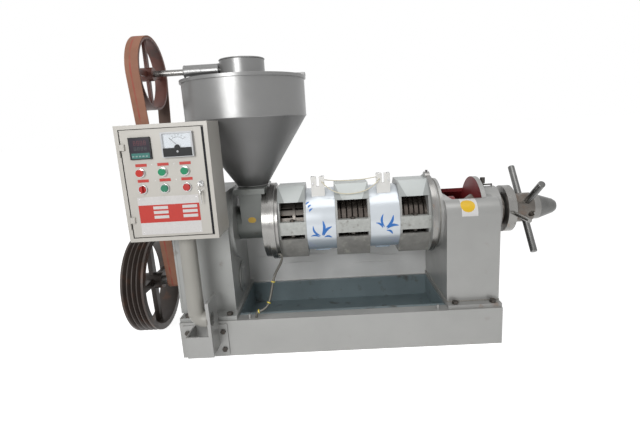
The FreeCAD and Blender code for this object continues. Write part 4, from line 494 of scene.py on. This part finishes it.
def rod(bm, axis, start, reach, radius, end_radius=None, around=32, index=0):
    """A cylinder or cone from start along an axis."""
    step = {"X": (1, 0, 0), "Y": (0, 1, 0), "Z": (0, 0, 1)}[axis]
    centre = (Vector(start) + Vector(step) * reach / 2) * MM
    made = bmesh.ops.create_cone(bm, cap_ends=True, segments=around, radius1=radius * MM,
                                 radius2=(radius if end_radius is None else end_radius) * MM, depth=reach * MM,
                                 matrix=Matrix.Translation(centre) @ TURN[axis])
    return mark(made["verts"], index)


def turned(bm, axis, origin, profile, around=48, index=0):
    """Spins a closed profile of (along, radius) pairs round an axis through origin."""
    verts = [bm.verts.new((radius * MM, 0, along * MM)) for along, radius in profile]
    edges = [bm.edges.new(pair) for pair in zip(verts, verts[1:] + verts[:1])]
    made = bmesh.ops.spin(bm, geom=verts + edges, cent=(0, 0, 0), axis=(0, 0, 1), angle=math.tau, steps=around,
                          use_merge=True)
    ring = {v for v in bm.verts if v in set(verts)} | {v for g in made["geom_last"] if isinstance(g, bmesh.types.BMVert)
                                                    for v in [g]}
    seen, todo = set(ring), list(ring)
    while todo:
        for edge in todo.pop().link_edges:
            for v in edge.verts:
                if v not in seen:
                    seen.add(v)
                    todo.append(v)
    bmesh.ops.remove_doubles(bm, verts=list(seen), dist=1e-6)
    alive = [v for v in seen if v.is_valid]
    bmesh.ops.recalc_face_normals(bm, faces=list({f for v in alive for f in v.link_faces}))
    bmesh.ops.transform(bm, verts=alive, matrix=Matrix.Translation(Vector(origin) * MM) @ TURN[axis])
    return mark(alive, index)


def flake(bm, steps, wall, shape, index=0):
    """A thin sheet from a grid. shape(u, t, h) gives the place in millimetres of a point at u across and
    t along, both from 0 to 1, and h above the sheet's back."""
    made = bmesh.ops.create_grid(bm, x_segments=steps[0], y_segments=steps[1], size=0.5)
    back = list({f for v in made["verts"] for f in v.link_faces})
    raised = bmesh.ops.extrude_face_region(bm, geom=back)
    front = [g for g in raised["geom"] if isinstance(g, bmesh.types.BMVert)]
    bmesh.ops.translate(bm, verts=front, vec=(0, 0, wall))
    verts = made["verts"] + front
    for v in verts:
        v.co = Vector(shape(v.co.x + 0.5, v.co.y + 0.5, v.co.z)) * MM
    bmesh.ops.recalc_face_normals(bm, faces=list({f for v in verts for f in v.link_faces}))
    return mark(verts, index)


def rolled(centre_y, centre_z, radius):
    """Places points given as x, arc length above the foremost line and height on a cylinder along X."""
    def place(x, arc, height):
        angle = arc / radius
        reach = radius + height
        return (x, centre_y - reach * math.cos(angle), centre_z + reach * math.sin(angle))
    return place


def stroke(bm, place, start, end, bow, width, steps=(2, 12), wall=0.25, index=0):
    """A leaf-shaped stroke on a rolled surface from start to end, both (x, arc length)."""
    along = Vector(end) - Vector(start)
    side = Vector((-along.y, along.x)).normalized()

    def shape(u, t, h):
        swell = max(0.06, math.sin(math.pi * min(1, t * 0.94 + 0.03)) ** 0.7)
        at = Vector(start) + along * t + side * (bow * math.sin(math.pi * t) + (u - 0.5) * width * swell)
        return place(at.x, at.y, h)

    return flake(bm, steps, wall, shape, index)


def sunk(bm, x, y, z, rim, depth, index=0, floor_index=1):
    """A plate facing the operator with a floor sunk inside its rim."""
    verts = block(bm, x, y, z, index)
    front = max({f for v in verts for f in v.link_faces}, key=lambda f: -f.calc_center_median().y)
    bmesh.ops.inset_region(bm, faces=[front], thickness=rim * MM, use_even_offset=True)
    wall = bmesh.ops.extrude_face_region(bm, geom=[front])
    inner = [g for g in wall["geom"] if isinstance(g, bmesh.types.BMVert)]
    floor = [g for g in wall["geom"] if isinstance(g, bmesh.types.BMFace)]
    if front.is_valid:
        bmesh.ops.delete(bm, geom=[front], context="FACES_ONLY")
    bmesh.ops.translate(bm, verts=inner, vec=(0, depth * MM, 0))
    for face in floor:
        face.material_index = floor_index
    return verts


def bead_ring(bm, axis, origin, radius, thick, around=64, index=0):
    """A round bead that runs round an axis."""
    profile = [(thick * math.cos(a), radius + thick * math.sin(a)) for a in (i * math.tau / 8 for i in range(8))]
    return turned(bm, axis, origin, profile, around, index)


def weld_bead(bm, axis, start, reach, radius, index=0):
    """A rippled bead of weld from start along an axis."""
    verts = rod(bm, axis, start, reach, radius, around=8, index=index)
    rails = [e for e in {e for v in verts for e in v.link_edges} if e.calc_length() > reach * MM * 0.9]
    cut = bmesh.ops.subdivide_edges(bm, edges=rails, cuts=max(2, int(reach / 4)))
    line = "XYZ".index(axis)
    for v in {g for g in cut["geom"] if isinstance(g, bmesh.types.BMVert)} - set(verts):
        swell = 1 + 0.22 * math.sin((v.co[line] / MM - start[line]) * math.tau / 9)
        for i in range(3):
            if i != line:
                v.co[i] = start[i] * MM + (v.co[i] - start[i] * MM) * swell
    return verts


def stud(bm, x, z, front, radius=1.8, index=0):
    """A domed rivet head on a plate that faces the operator."""
    profile = [(0, 0), (0, radius), (radius * 0.35, radius * 0.8), (radius * 0.6, radius * 0.3),
               (radius * 0.65, 0)]
    return turned(bm, "Y", (x, front, z), [(-along, reach) for along, reach in profile], 16, index)


def figures(bm, text, x, z, front, height, index=0):
    """Plain upright figures centred on a point of a surface that faces the operator."""
    curve = bpy.data.curves.new("figures", "FONT")
    curve.body = text
    curve.size = height * MM * 1.35
    curve.extrude = 0.05 * MM
    curve.resolution_u = 2
    curve.align_x = "CENTER"
    curve.align_y = "CENTER"
    holder = bpy.data.objects.new("figures", curve)
    mesh = bpy.data.meshes.new_from_object(holder)
    old = set(bm.verts)
    bm.from_mesh(mesh)
    fresh = [v for v in bm.verts if v not in old]
    turn = Matrix.Translation(Vector((x, front, z)) * MM) @ Matrix.Rotation(math.pi / 2, 4, "X")
    bmesh.ops.transform(bm, verts=fresh, matrix=turn)
    bpy.data.objects.remove(holder)
    bpy.data.curves.remove(curve)
    bpy.data.meshes.remove(mesh)
    return mark(fresh, index)


def free_cord(name, route, diameter, material, body):
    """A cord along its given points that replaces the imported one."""
    curve = bpy.data.curves.new(name, "CURVE")
    curve.dimensions = "3D"
    curve.bevel_depth = diameter / 2 * MM
    curve.bevel_resolution = 3
    curve.use_fill_caps = True
    line = curve.splines.new("NURBS")
    line.points.add(len(route) - 1)
    for point, place in zip(line.points, route):
        point.co = (*(Vector(place) * MM), 1)
    line.order_u = 3
    line.use_endpoint_u = True
    line.resolution_u = 8
    curve.materials.append(material)
    piece = bpy.data.objects.new(f"{name}_cord", curve)
    bpy.context.scene.collection.objects.link(piece)
    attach(piece, body)
    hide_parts(name)
    return piece


# ---------------------------------------------------------------- the press, piece by piece

class PieceOperator:
    """What every operator of this file shares."""
    bl_options = {"REGISTER", "UNDO"}


class PRESS_OT_castings(PieceOperator, Operator):
    """Paints the base frame, gearbox, feed housing and bearing post"""
    bl_idname = "press.castings"
    bl_label = "Base and castings"

    def execute(self, context):
        edge = sizes().edge
        dress("base_frame", [post_paint()], edge)
        for name in ("gearbox_housing", "gearbox_cover", "input_bearing_cover"):
            dress(name, [casting_paint()], edge * 1.5)
        dress("feed_housing", [throat_paint(), turned_steel()], edge,
              zone=lambda c, n: int(c.x > -284 and abs(n.x) < 0.3 and math.hypot(c.y, c.z - 488) > 72))

        def post_zone(c, n):
            """Red inside the chamber and on the cheek, rust-tinted on the foot plate."""
            y = abs(c.y)
            corner = math.hypot(max(0, y - 125), max(0, c.z - 507))
            chamber = 426 < c.x < 624 and y < 178 and 165 < c.z < 561 and corner < 53
            cheek = c.z > 500 and n.x < -0.9 and 560 < c.x < 590
            return 1 if chamber or cheek else 2 if c.z < 164 else 0

        dress("bearing_post", [post_paint(), red_primer(), foot_paint()], edge, zone=post_zone)

        bm = bmesh.new()
        bead = sizes().weld / MM
        for x in (424, 626):
            weld_bead(bm, "Y", (x, -178, 164), 356, bead)
        for y in (-180, 180):
            weld_bead(bm, "X", (424, y, 164), 202, bead)
        for y in (-165, 165):
            weld_bead(bm, "X", (-616, y, 148.5), 200, bead * 0.8)
        bead_ring(bm, "X", (411, 0, 488), 142, 2.2)
        shown("foot_welds", bm, [weld_metal()], "frame")

        bm = bmesh.new()
        shoulder = rolled(-125, 507, 55)
        flake(bm, (1, 16), 0.4, lambda u, t, h: shoulder(480 + 61 * u, -3 + 80 * t, h))

        def disc(u, t, h):
            """A round spot: the grid's width is narrowed to a circle along its length."""
            wide = math.sqrt(max(0.0004, 1 - (2 * t - 1) ** 2))
            return shoulder(505 + 27 * (2 * u - 1) * wide, 39.5 + 27 * (2 * t - 1), 0.4 + h)

        flake(bm, (2, 28), 0.25, disc, 1)
        shown("post_sticker", bm, [plain("sticker_white", (0.74, 0.73, 0.72)),
                                   plain("sticker_yellow", (0.80, 0.50, 0.02))], "frame")

        bm = bmesh.new()
        lean = 22 / 133

        def oval(u, t, h):
            wide = math.sqrt(max(0.0004, 1 - (2 * t - 1) ** 2))
            z = 511.5 + 12.5 * (2 * t - 1)
            return (-332 + 16.5 * (2 * u - 1) * wide, -70 - (z - 488) * lean - 0.1 - h, z)

        flake(bm, (2, 20), 0.4, oval)
        shown("throat_sticker", bm, [plain("sticker_orange", (0.62, 0.38, 0.03))], "frame")
        return {"FINISHED"}


class PRESS_OT_tray(PieceOperator, Operator):
    """Finishes the oil tray and the rear splash guard"""
    bl_idname = "press.tray"
    bl_label = "Oil tray and splash guard"

    def execute(self, context):
        dress("oil_tray", [tray_paint()], sizes().sheet_edge)
        dress("splash_guard", [creased_sheet()], sizes().sheet_edge)
        bm = bmesh.new()

        def crease(x, reach, z, lean):
            """A long shallow dent pressed into the sheet."""
            def shape(u, t, h):
                swell = math.sin(math.pi * min(1, t * 0.96 + 0.02))
                depth = (0.3 + 2.4 * swell) * (1 - abs(2 * u - 1)) * (h > 0)
                return (x + reach * t, 187.4 - depth, z + lean * t + 5 * math.sin(t * 5) + 9 * (u - 0.5) * swell)
            flake(bm, (4, 24), 1, shape)

        crease(-380, 330, 268, 10)
        crease(-30, 410, 262, -12)
        crease(-300, 220, 226, 16)
        crease(60, 260, 214, 12)
        block(bm, (-424, -399), (188, 190.4), (164, 371))
        block(bm, (420, 440), (188, 190.4), (164, 330))
        shown("guard_creases", bm, [creased_sheet()], "frame", sharp=60)
        return {"FINISHED"}


class PRESS_OT_cage(PieceOperator, Operator):
    """Finishes the press cage with its rings, bars, heater jackets and terminals"""
    bl_idname = "press.cage"
    bl_label = "Press cage"

    def execute(self, context):
        def cage_zone(c, n):
            """Bright turned rims, pale window panels, rough side strips and dull lower panels."""
            if c.x < -221 or c.x > 377:
                return int(abs(n.x) < 0.3 and math.hypot(c.y, c.z - 488) > 140)
            if abs(n.x) > 0.5:
                return 0
            if c.z > 575:
                return 2
            if abs(c.y) > 99 and 451 < c.z < 505:
                return 3
            return 4 if c.z < 440 else 0

        paints = [casting_paint(), turned_steel(), panel_paint(), strip_paint(), hip_paint()]
        for name in ("upper_cage", "lower_cage"):
            dress(name, paints, sizes().edge * 0.6, zone=cage_zone)
        bm = bmesh.new()
        for left, right in ((-222, -111), (6, 141), (258, 378)):
            for corner, inward in ((left, 1), (right, -1)):
                def flap(u, t, h, corner=corner, inward=inward):
                    """Folded sheet that narrows upward over a front panel's end."""
                    reach = 1.5 + 27 * (1 - t)
                    return (corner + inward * reach * u, -108 + 56 * t - (0.2 + h) * 0.71,
                            580 + 57 * t + (0.2 + h) * 0.71)
                flake(bm, (3, 6), 1.6, flap)
        # The flaps carry painted shade: the panel paint made darker.
        shown("cage_flaps", bm, [flap_shaded_paint()], "frame", sharp=50)
        dress("press_bars", [worn_steel()], 0.4 * MM)
        dress("press_rings", [oiled_steel()])
        dress("heater_bands", [heater_film()], 0.4 * MM)
        dress("terminal_blocks", [glazed_ceramic()], 0.8 * MM)
        ties = dress("lead_ties", [tie_plastic()])
        free_cord("heater_link_front",
                  [(-42, -75, 652), (-42, -85, 652), (-24, -87, 632), (8, -92, 610), (49, -94, 600),
                   (96, -94, 602), (136, -92, 612), (168, -87, 632), (186, -85, 652), (186, -75, 652)],
                  4, glass_sleeve(), "frame")
        free_cord("heater_link_rear",
                  [(-42, -45, 655), (-42, -33, 655), (-10, -26, 649), (40, -24, 644), (104, -24, 644),
                   (154, -26, 649), (186, -33, 655), (186, -45, 655)],
                  4, glass_sleeve(), "frame")
        free_cord("sensor_lead",
                  [(-234, -100, 371), (-216, -100, 371), (-222, -118, 340), (-250, -150, 300), (-262, -162, 250),
                   (-270, -176, 212), (-282, -192, 186), (-304, -199, 174), (-326, -201, 170),
                   (-326, -201, 148)],
                  10, braided_lead(), "frame")

        jacket = rolled(0, 488, 129.5)
        bm = bmesh.new()
        for x, arc, tilt in ((-52, -52, 0.3), (196, -30, -0.25)):
            for turn, reach, bow, width in ((1.9, 62, 9, 9), (1.15, 70, -7, 11), (0.45, 66, 8, 12),
                                            (2.7, 44, -6, 8), (-0.4, 40, 6, 9)):
                angle = turn + tilt
                near = (x + 9 * math.cos(angle), arc + 9 * math.sin(angle))
                far = (x + min(reach, 56) * math.cos(angle), arc + reach * math.sin(angle))
                stroke(bm, jacket, near, far, bow, width)
        for x, arc in ((-104, 92), (-97, 78), (-92, 62)):
            stroke(bm, jacket, (x - 5, arc - 6), (x + 9, arc + 7), 2, 7)
        for x, far, grow in ((-104, -60, 1), (251, 200, -1)):
            for row in range(6):
                for column in range(row + 1 if grow > 0 else 7 - row):
                    at = x + grow * (6 * column + 3 * (row % 2))
                    arc = -74 - 7 * row
                    stroke(bm, jacket, (at - 1.8, arc), (at + 1.8, arc + 0.8), 0, 3.2, steps=(2, 4), index=1)
        shown("film_strokes", bm, [plain("film_blue", colours().motif), plain("film_dots", (0.30, 0.33, 0.50))],
              "frame", sharp=60)

        bm = bmesh.new()
        for x in (-78, -38, 182, 222):
            rod(bm, "Z", (x, -60, 671), 3, 7, 5.6, around=20)
            block(bm, (x - 6, x + 6), (-60.8, -59.2), (673.2, 674.4), 1)
            rod(bm, "Y", (x, -77.6, 645), 4, 5, around=20)
        shown("terminal_screws", bm, [chrome(), black_oxide()], "frame", bevel=0.3 * MM)
        return {"FINISHED"}


class PRESS_OT_screw(PieceOperator, Operator):
    """Finishes the press screw, its worms and the choke"""
    bl_idname = "press.screw"
    bl_label = "Press screw"

    def execute(self, context):
        dress("screw_shaft", [worn_steel()], 0.8 * MM)
        dress("press_worms", [oiled_steel()])
        dress("choke_sleeve", [worn_steel()], 0.8 * MM)
        dress("thrust_bearing", [gear_steel()], 0.5 * MM)
        return {"FINISHED"}


def belt_face(c, n):
    """0 on the outer face and edges of the flat belt, 1 on the lining that runs on the pulleys."""
    if abs(n.x) > 0.5:
        return 0
    middle = Vector((0, 678))
    return int((Vector((c.y, c.z)) - middle).dot(Vector((n.y, n.z))) < 0)


class PRESS_OT_drive(PieceOperator, Operator):
    """Finishes the shafts, gears, bearings, pulleys and the flat belt"""
    bl_idname = "press.drive"
    bl_label = "Drive"

    def execute(self, context):
        for name in ("input_shaft", "intermediate_shaft"):
            dress(name, [turned_steel()], 0.8 * MM)
        for name in ("shaft_bearings", "intermediate_gear", "main_gear"):
            dress(name, [gear_steel()], 0.5 * MM)
        dress("v_belt_pulley", [sheave_iron()], 0.8 * MM)
        dress("feeder_drive_pulley", [feeder_iron()], 0.8 * MM)
        dress("flat_belt", [belt_weave(), belt_lining()], zone=belt_face)

        bm = bmesh.new()
        rod(bm, "Z", (-800, 0, 282), 26, 5, around=16)
        bmesh.ops.create_cone(bm, cap_ends=True, segments=6, radius1=11 * MM, radius2=10 * MM, depth=8 * MM,
                              matrix=Matrix.Translation(Vector((-800, 0, 311)) * MM))
        shown("pulley_set_bolt", bm, [black_oxide()], "input", bevel=0.6 * MM)
        return {"FINISHED"}


class PRESS_OT_feeder(PieceOperator, Operator):
    """Finishes the hopper with its overhead drive"""
    bl_idname = "press.feeder"
    bl_label = "Hopper and feeder drive"

    def execute(self, context):
        # Below the knee the cone takes the darkened hopper paint: painted shade.
        dress("hopper", [hopper_paint(), cone_shaded_paint()], sizes().sheet_edge, zone=lambda c, n: int(c.z < 914.9))
        dress("hopper_crossbar", [hopper_paint()], sizes().edge)
        dress("bevel_gear_case", [hopper_paint()], sizes().edge)
        dress("feeder_shaft_tube", [hopper_paint()], sizes().edge)
        dress("feeder_shaft", [turned_steel()], 0.6 * MM)
        dress("feeder_pulley", [feeder_iron()], 0.8 * MM)
        dress("bevel_gear", [gear_steel()])
        dress("agitator", [worn_steel()], 0.6 * MM)

        bm = bmesh.new()
        bead_ring(bm, "Z", (-328, 0, 915), 239.2, 1.6, 96)
        bead_ring(bm, "Z", (-328, 0, 646), 61, 2.4)
        bead_ring(bm, "Z", (-328, 0, 1138), 87, 2.4)
        bead_ring(bm, "X", (-555, 0, 1106), 24.6, 1.4, 40)
        bead_ring(bm, "X", (-420, 0, 1106), 24.6, 1.4, 40)
        bead_ring(bm, "X", (-487, 0, 1106), 24.9, 0.8, 40)
        shown("hopper_seams", bm, [hopper_paint()], "frame")
        return {"FINISHED"}


class PRESS_OT_adjuster(PieceOperator, Operator):
    """Finishes the adjusting screw, its bars, the lock nut and the grease cup"""
    bl_idname = "press.adjuster"
    bl_label = "Adjusting screw"

    def execute(self, context):
        dress("adjusting_screw", [turned_steel(), worn_steel(), bar_steel()], sizes().edge,
              zone=lambda c, n: 1 if 743 < c.x < 811 else 2 if c.x > 841 else 0)
        dress("capstan_bars", [bar_steel()], 3 * MM, segments=4)
        dress("lock_nut", [turned_steel()], sizes().edge)
        dress("grease_cup", [black_oxide()], 0.6 * MM)
        return {"FINISHED"}


class PRESS_OT_fasteners(PieceOperator, Operator):
    """Finishes the bolts"""
    bl_idname = "press.fasteners"
    bl_label = "Fasteners"

    def execute(self, context):
        for name in ("frame_bolts", "cage_bolts"):
            dress(name, [black_oxide()], 0.5 * MM)
        return {"FINISHED"}


class PRESS_OT_control_box(PieceOperator, Operator):
    """Finishes the control box on its conduit"""
    bl_idname = "press.control_box"
    bl_label = "Control box"

    def execute(self, context):
        dress("conduit_pipe", [conduit_paint()], sizes().edge)
        dress("conduit_bracket", [post_paint()], sizes().edge)
        dress("control_box", [box_enamel()], sizes().sheet_edge)
        dress("box_door", [box_enamel()], sizes().sheet_edge)

        bm = bmesh.new()
        bead_ring(bm, "Z", (-528, -294, 218), 30, 0.9, 40)
        shown("conduit_joint", bm, [conduit_paint()], "frame")
        bm = bmesh.new()
        bead_ring(bm, "X", (-484, -294, 196), 31.5, sizes().weld / MM, 40)
        for y in (-322, -270):
            weld_bead(bm, "Z", (-484, y, 140), 26, 2.4)
        shown("fin_welds", bm, [weld_metal()], "frame")

        wall = sizes().label_wall / MM
        door = -376
        # A near-black strip at the door's right edge only: painted shadow in the gap beside the door's folded edge.
        bm = bmesh.new()
        block(bm, (-410.5, -402.4), (door - 1.6, door + 1.2), (539.5, 893))
        shown("door_gap_shadow", bm, [plain("painted_gap_shadow", (0.008, 0.008, 0.010), 0.6, Specular_IOR_Level=0.2)], "door", bevel=0.7 * MM)

        bm = bmesh.new()
        for x in (-618, -546, -474):
            for z in (780, 729):
                block(bm, (x - 18.5, x + 18.5), (door - wall, door + 0.1), (z - 4.8, z + 4.8))
        for x in (-582, -510):
            for z in (780, 729):
                stud(bm, x, z, door + 0.05, index=1)
        shown("row_labels", bm, [plain("label_red", colours().labels), chrome()], "door", bevel=0.25 * MM)

        bm = bmesh.new()
        block(bm, (-646.5, -443.5), (door - wall, door + 0.1), (548, 675.5))
        block(bm, (-646.3, -443.7), (door - wall - 0.25, door - wall + 0.1), (588.5, 648), 1)
        for row, z in enumerate((638, 622.5, 606.5)):
            for x in (-597.5, -500.5):
                block(bm, (x, x + 49), (door - wall - 0.5, door - wall), (z - 5, z + 5), 0)
        for x in (-640.5, -449.5):
            for z in (554, 669.5):
                stud(bm, x, z, door - wall + 0.05, 1.6, 2)
        shown("nameplate", bm, [plain("plate_white", (0.60, 0.585, 0.575), 0.28),
                                plain("label_red", colours().labels), chrome()], "door", bevel=0.12 * MM)
        dress("mounting_plate", [zinc_plate()], sizes().sheet_edge)
        dress("contactors", [instrument_plastic()], sizes().edge)
        return {"FINISHED"}


class PRESS_OT_instruments(PieceOperator, Operator):
    """Finishes the instruments, lamps, buttons and the lock"""
    bl_idname = "press.instruments"
    bl_label = "Instruments"

    def execute(self, context):
        dress("temperature_controller", [instrument_plastic()], 0.8 * MM)
        bm = bmesh.new()
        sunk(bm, (-646.6, -576.4), (-383, -381.9), (799.4, 869.6), 3, 0.7, 0, 1)
        block(bm, (-641, -582), (-382.6, -382.2), (802.6, 819.6), 2)
        for x in (-636, -625, -614, -603, -592):
            block(bm, (x - 3.2, x + 3.2), (-383, -382.5), (807.5, 811.5), 3)
        for z, height, index in ((845, 13, 4), (829, 9, 5)):
            for digit in range(4):
                left = -627 + digit * 11
                for across, up, wide, tall in ((0, 0, 6, 1), (0, 0.5, 6, 1), (0, 1, 6, 1), (-3, 0.25, 1, 0.42),
                                               (3, 0.25, 1, 0.42), (-3, 0.75, 1, 0.42), (3, 0.75, 1, 0.42)):
                    half = tall / 2 if tall == 1 else tall * height / 2
                    middle = z + up * height
                    block(bm, (left + across - wide / 2, left + across + wide / 2), (-382.5, -382.25),
                          (middle - half, middle + half), index)
        shown("controller_face", bm,
              [plain("bezel_black", (0.010, 0.011, 0.012), Specular_IOR_Level=0.25), plain("display_dark", (0.030, 0.024, 0.034), 0.2, Specular_IOR_Level=0.25),
               plain("key_band", (0.004, 0.12, 0.10)), plain("key_pale", (0.22, 0.30, 0.29)),
               plain("digits_red", (0.13, 0.012, 0.02)), plain("digits_green", (0.035, 0.05, 0.05))],
              "door", bevel=0.08 * MM)

        dress("ammeter", [meter_case()], 0.8 * MM)
        bm = bmesh.new()
        block(bm, (-533.6, -443.4), (-381.4, -380.9), (831.2, 875.6))
        pivot_x, pivot_z = -488.5, 837

        def dial(radius, thick, start, end):
            """An arc printed round the pivot, angles in degrees from upright."""
            def shape(u, t, h):
                angle = math.radians(start + (end - start) * t)
                reach = radius + thick * u
                return (pivot_x + reach * math.sin(angle), -381.35 - h, pivot_z + reach * math.cos(angle))
            return shape

        flake(bm, (1, 32), 0.12, dial(26.5, 0.9, -45, 45), 1)
        for tick in range(21):
            angle = -45 + 4.5 * tick
            flake(bm, (1, 1), 0.12, dial(27, 3.2 if tick % 4 == 0 else 1.8, angle - 0.7, angle + 0.7), 1)
        for step in range(6):
            angle = math.radians(-45 + 18 * step)
            figures(bm, str(step * 10), pivot_x + 34.5 * math.sin(angle), pivot_z + 34 * math.cos(angle),
                    -381.45, 4.6, 1)
        block(bm, (-535, -442), (-390.5, -389.9), (803.5, 830.8), 1)
        rod(bm, "Y", (pivot_x, -391.2, 831), 1.6, 8.5, 9.5, around=32, index=1)
        rod(bm, "Y", (pivot_x, -391.8, 819), 1.4, 3.2, 3.6, around=24, index=2)
        block(bm, (pivot_x - 2.6, pivot_x + 2.6), (-391.95, -391.6), (818.6, 819.4), 1)
        shown("ammeter_dial", bm, [plain("dial_white", (0.72, 0.76, 0.80)), instrument_plastic(),
                                   meter_case()], "door", bevel=0.05 * MM)
        bm = bmesh.new()
        block(bm, (-533.8, -443.2), (-389.6, -388.8), (831.4, 875.8))
        shown("ammeter_pane", bm, [window_pane()], "door")
        dress("ammeter_needle", [instrument_plastic()])
        def lamp_zone(c, n):
            """Red lens on the left, green on the others, chrome on the rings."""
            centre = min((-622, -549, -476), key=lambda x: abs(c.x - x))
            ring = c.y > -383.5 and (math.hypot(c.x - centre, c.z - 756) > 12.5 or abs(n.y) > 0.5)
            return 2 if ring else int(c.x < -600)

        dress("pilot_lamps", [green_lens(), red_lens(), chrome()], 0.8 * MM, zone=lamp_zone)
        dress("button_bezels", [chrome()], 0.6 * MM)
        dress("selector_knob", [red_button()], 0.6 * MM)
        dress("start_button", [green_button()], 0.6 * MM)
        dress("stop_button", [red_button()], 0.6 * MM)
        dress("cam_lock", [chrome()], 0.4 * MM)
        dress("spare_key", [chrome()], 0.3 * MM)
        return {"FINISHED"}


# ---------------------------------------------------------------- studio

def stage_piece(name, data):
    piece = bpy.data.objects.new(name, data)
    bpy.context.scene.collection.objects.link(piece)
    return piece


def lamp(name, place, aim, watts, size):
    """A square softbox at place, in millimetres, turned towards aim."""
    data = bpy.data.lights.new(name, "AREA")
    data.energy = watts
    data.shape = "SQUARE"
    data.size = size * MM
    piece = stage_piece(name, data)
    piece.location = Vector(place) * MM
    piece.rotation_euler = (Vector(aim) - Vector(place)).to_track_quat("-Z", "Y").to_euler()
    return piece


def white_to_the_eye(tree, lit, strength):
    """A factor that is 1 for rays that show the background and strength for those that light the press."""
    path = tree.nodes.new("ShaderNodeLightPath")
    seen = path.outputs["Is Camera Ray"]
    for name in ("Is Glossy Ray", "Is Transmission Ray"):
        either = tree.nodes.new("ShaderNodeMath")
        either.operation = "MAXIMUM"
        tree.links.new(seen, either.inputs[0])
        tree.links.new(path.outputs[name], either.inputs[1])
        seen = either.outputs[0]
    made = node(tree, "ShaderNodeMapRange", From_Min=0, From_Max=1, To_Min=strength, To_Max=lit)
    tree.links.new(seen, made.inputs["Value"])
    return made.outputs["Result"]


class PRESS_OT_studio(PieceOperator, Operator):
    """Sets the pale floor, the even sky, the softboxes and the camera"""
    bl_idname = "press.studio"
    bl_label = "Studio"

    def execute(self, context):
        scene = context.scene
        studio = scene.press_studio
        scene.view_settings.view_transform = "Standard"

        world = scene.world or bpy.data.worlds.new("sky")
        scene.world = world
        world.use_nodes = True
        tree = world.node_tree
        tree.nodes.clear()
        sky = node(tree, "ShaderNodeBackground", Color=(1, 1, 1, 1))
        output = tree.nodes.new("ShaderNodeOutputWorld")
        tree.links.new(white_to_the_eye(tree, 1.0, studio.sky), sky.inputs["Strength"])
        tree.links.new(sky.outputs["Background"], output.inputs["Surface"])

        bm = bmesh.new()
        bmesh.ops.create_grid(bm, x_segments=1, y_segments=1, size=30)
        mesh = bpy.data.meshes.new("floor")
        bm.to_mesh(mesh)
        bm.free()
        floor = stage_piece("floor", mesh)
        floor.location.z = -0.0005
        pale = bpy.data.materials.new("pale_floor")
        pale.use_nodes = True
        tree = pale.node_tree
        tree.nodes.clear()
        matt = node(tree, "ShaderNodeBsdfDiffuse", Color=(0.8, 0.8, 0.8, 1))
        glow = node(tree, "ShaderNodeEmission", Color=(1, 1, 1, 1))
        tree.links.new(white_to_the_eye(tree, 0.87, 0.0), glow.inputs["Strength"])
        both = tree.nodes.new("ShaderNodeAddShader")
        output = tree.nodes.new("ShaderNodeOutputMaterial")
        tree.links.new(matt.outputs["BSDF"], both.inputs[0])
        tree.links.new(glow.outputs["Emission"], both.inputs[1])
        tree.links.new(both.outputs["Shader"], output.inputs["Surface"])
        mesh.materials.append(pale)

        lamp("key_light", (-1050, -2700, 1450), (-50, 0, 450), studio.key, 1000)
        lamp("top_light", (250, -700, 2900), (50, 0, 500), studio.top, 1800)

        yaw, pitch, roll = -0.025, 0.209, -0.060
        ahead = Vector((math.sin(yaw) * math.cos(pitch), math.cos(yaw) * math.cos(pitch), -math.sin(pitch)))
        level = Vector((math.cos(yaw), -math.sin(yaw), 0))
        upright = level.cross(ahead)
        right = level * math.cos(roll) + upright * math.sin(roll)
        up = upright * math.cos(roll) - level * math.sin(roll)
        data = bpy.data.cameras.new("camera")
        data.lens = 23.93
        data.sensor_width = 36
        camera = stage_piece("camera", data)
        turn = Matrix((right, up, -ahead)).transposed().to_4x4()
        camera.matrix_world = Matrix.Translation(Vector((-13.6, -1748.6, 884.9)) * MM) @ turn
        scene.camera = camera
        return {"FINISHED"}


PIECES = (PRESS_OT_castings, PRESS_OT_tray, PRESS_OT_cage, PRESS_OT_screw, PRESS_OT_drive, PRESS_OT_feeder,
          PRESS_OT_adjuster, PRESS_OT_fasteners, PRESS_OT_control_box, PRESS_OT_instruments, PRESS_OT_studio)


class PRESS_PT_panel(Panel):
    """Settings and pieces of the press"""
    bl_idname = "PRESS_PT_panel"
    bl_label = "Screw oil press"
    bl_space_type = "VIEW_3D"
    bl_region_type = "UI"
    bl_category = "Oil press"

    def draw(self, context):
        for group in (context.scene.press_colours, context.scene.press_sizes, context.scene.press_studio):
            settings = self.layout.box()
            for name in group.__annotations__:
                settings.prop(group, name)
        for piece in PIECES:
            self.layout.operator(piece.bl_idname)


CLASSES = (PressColours, PressSizes, PressStudio, *PIECES, PRESS_PT_panel)


def register():
    for made in CLASSES:
        bpy.utils.register_class(made)
    bpy.types.Scene.press_colours = PointerProperty(type=PressColours)
    bpy.types.Scene.press_sizes = PointerProperty(type=PressSizes)
    bpy.types.Scene.press_studio = PointerProperty(type=PressStudio)


def unregister():
    for name in ("press_studio", "press_sizes", "press_colours"):
        delattr(bpy.types.Scene, name)
    for made in reversed(CLASSES):
        bpy.utils.unregister_class(made)


def main():
    """Builds every piece in order."""
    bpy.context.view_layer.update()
    register()
    for piece in PIECES:
        area, name = piece.bl_idname.split(".")
        getattr(getattr(bpy.ops, area), name)()


if __name__ == "__main__":
    main()
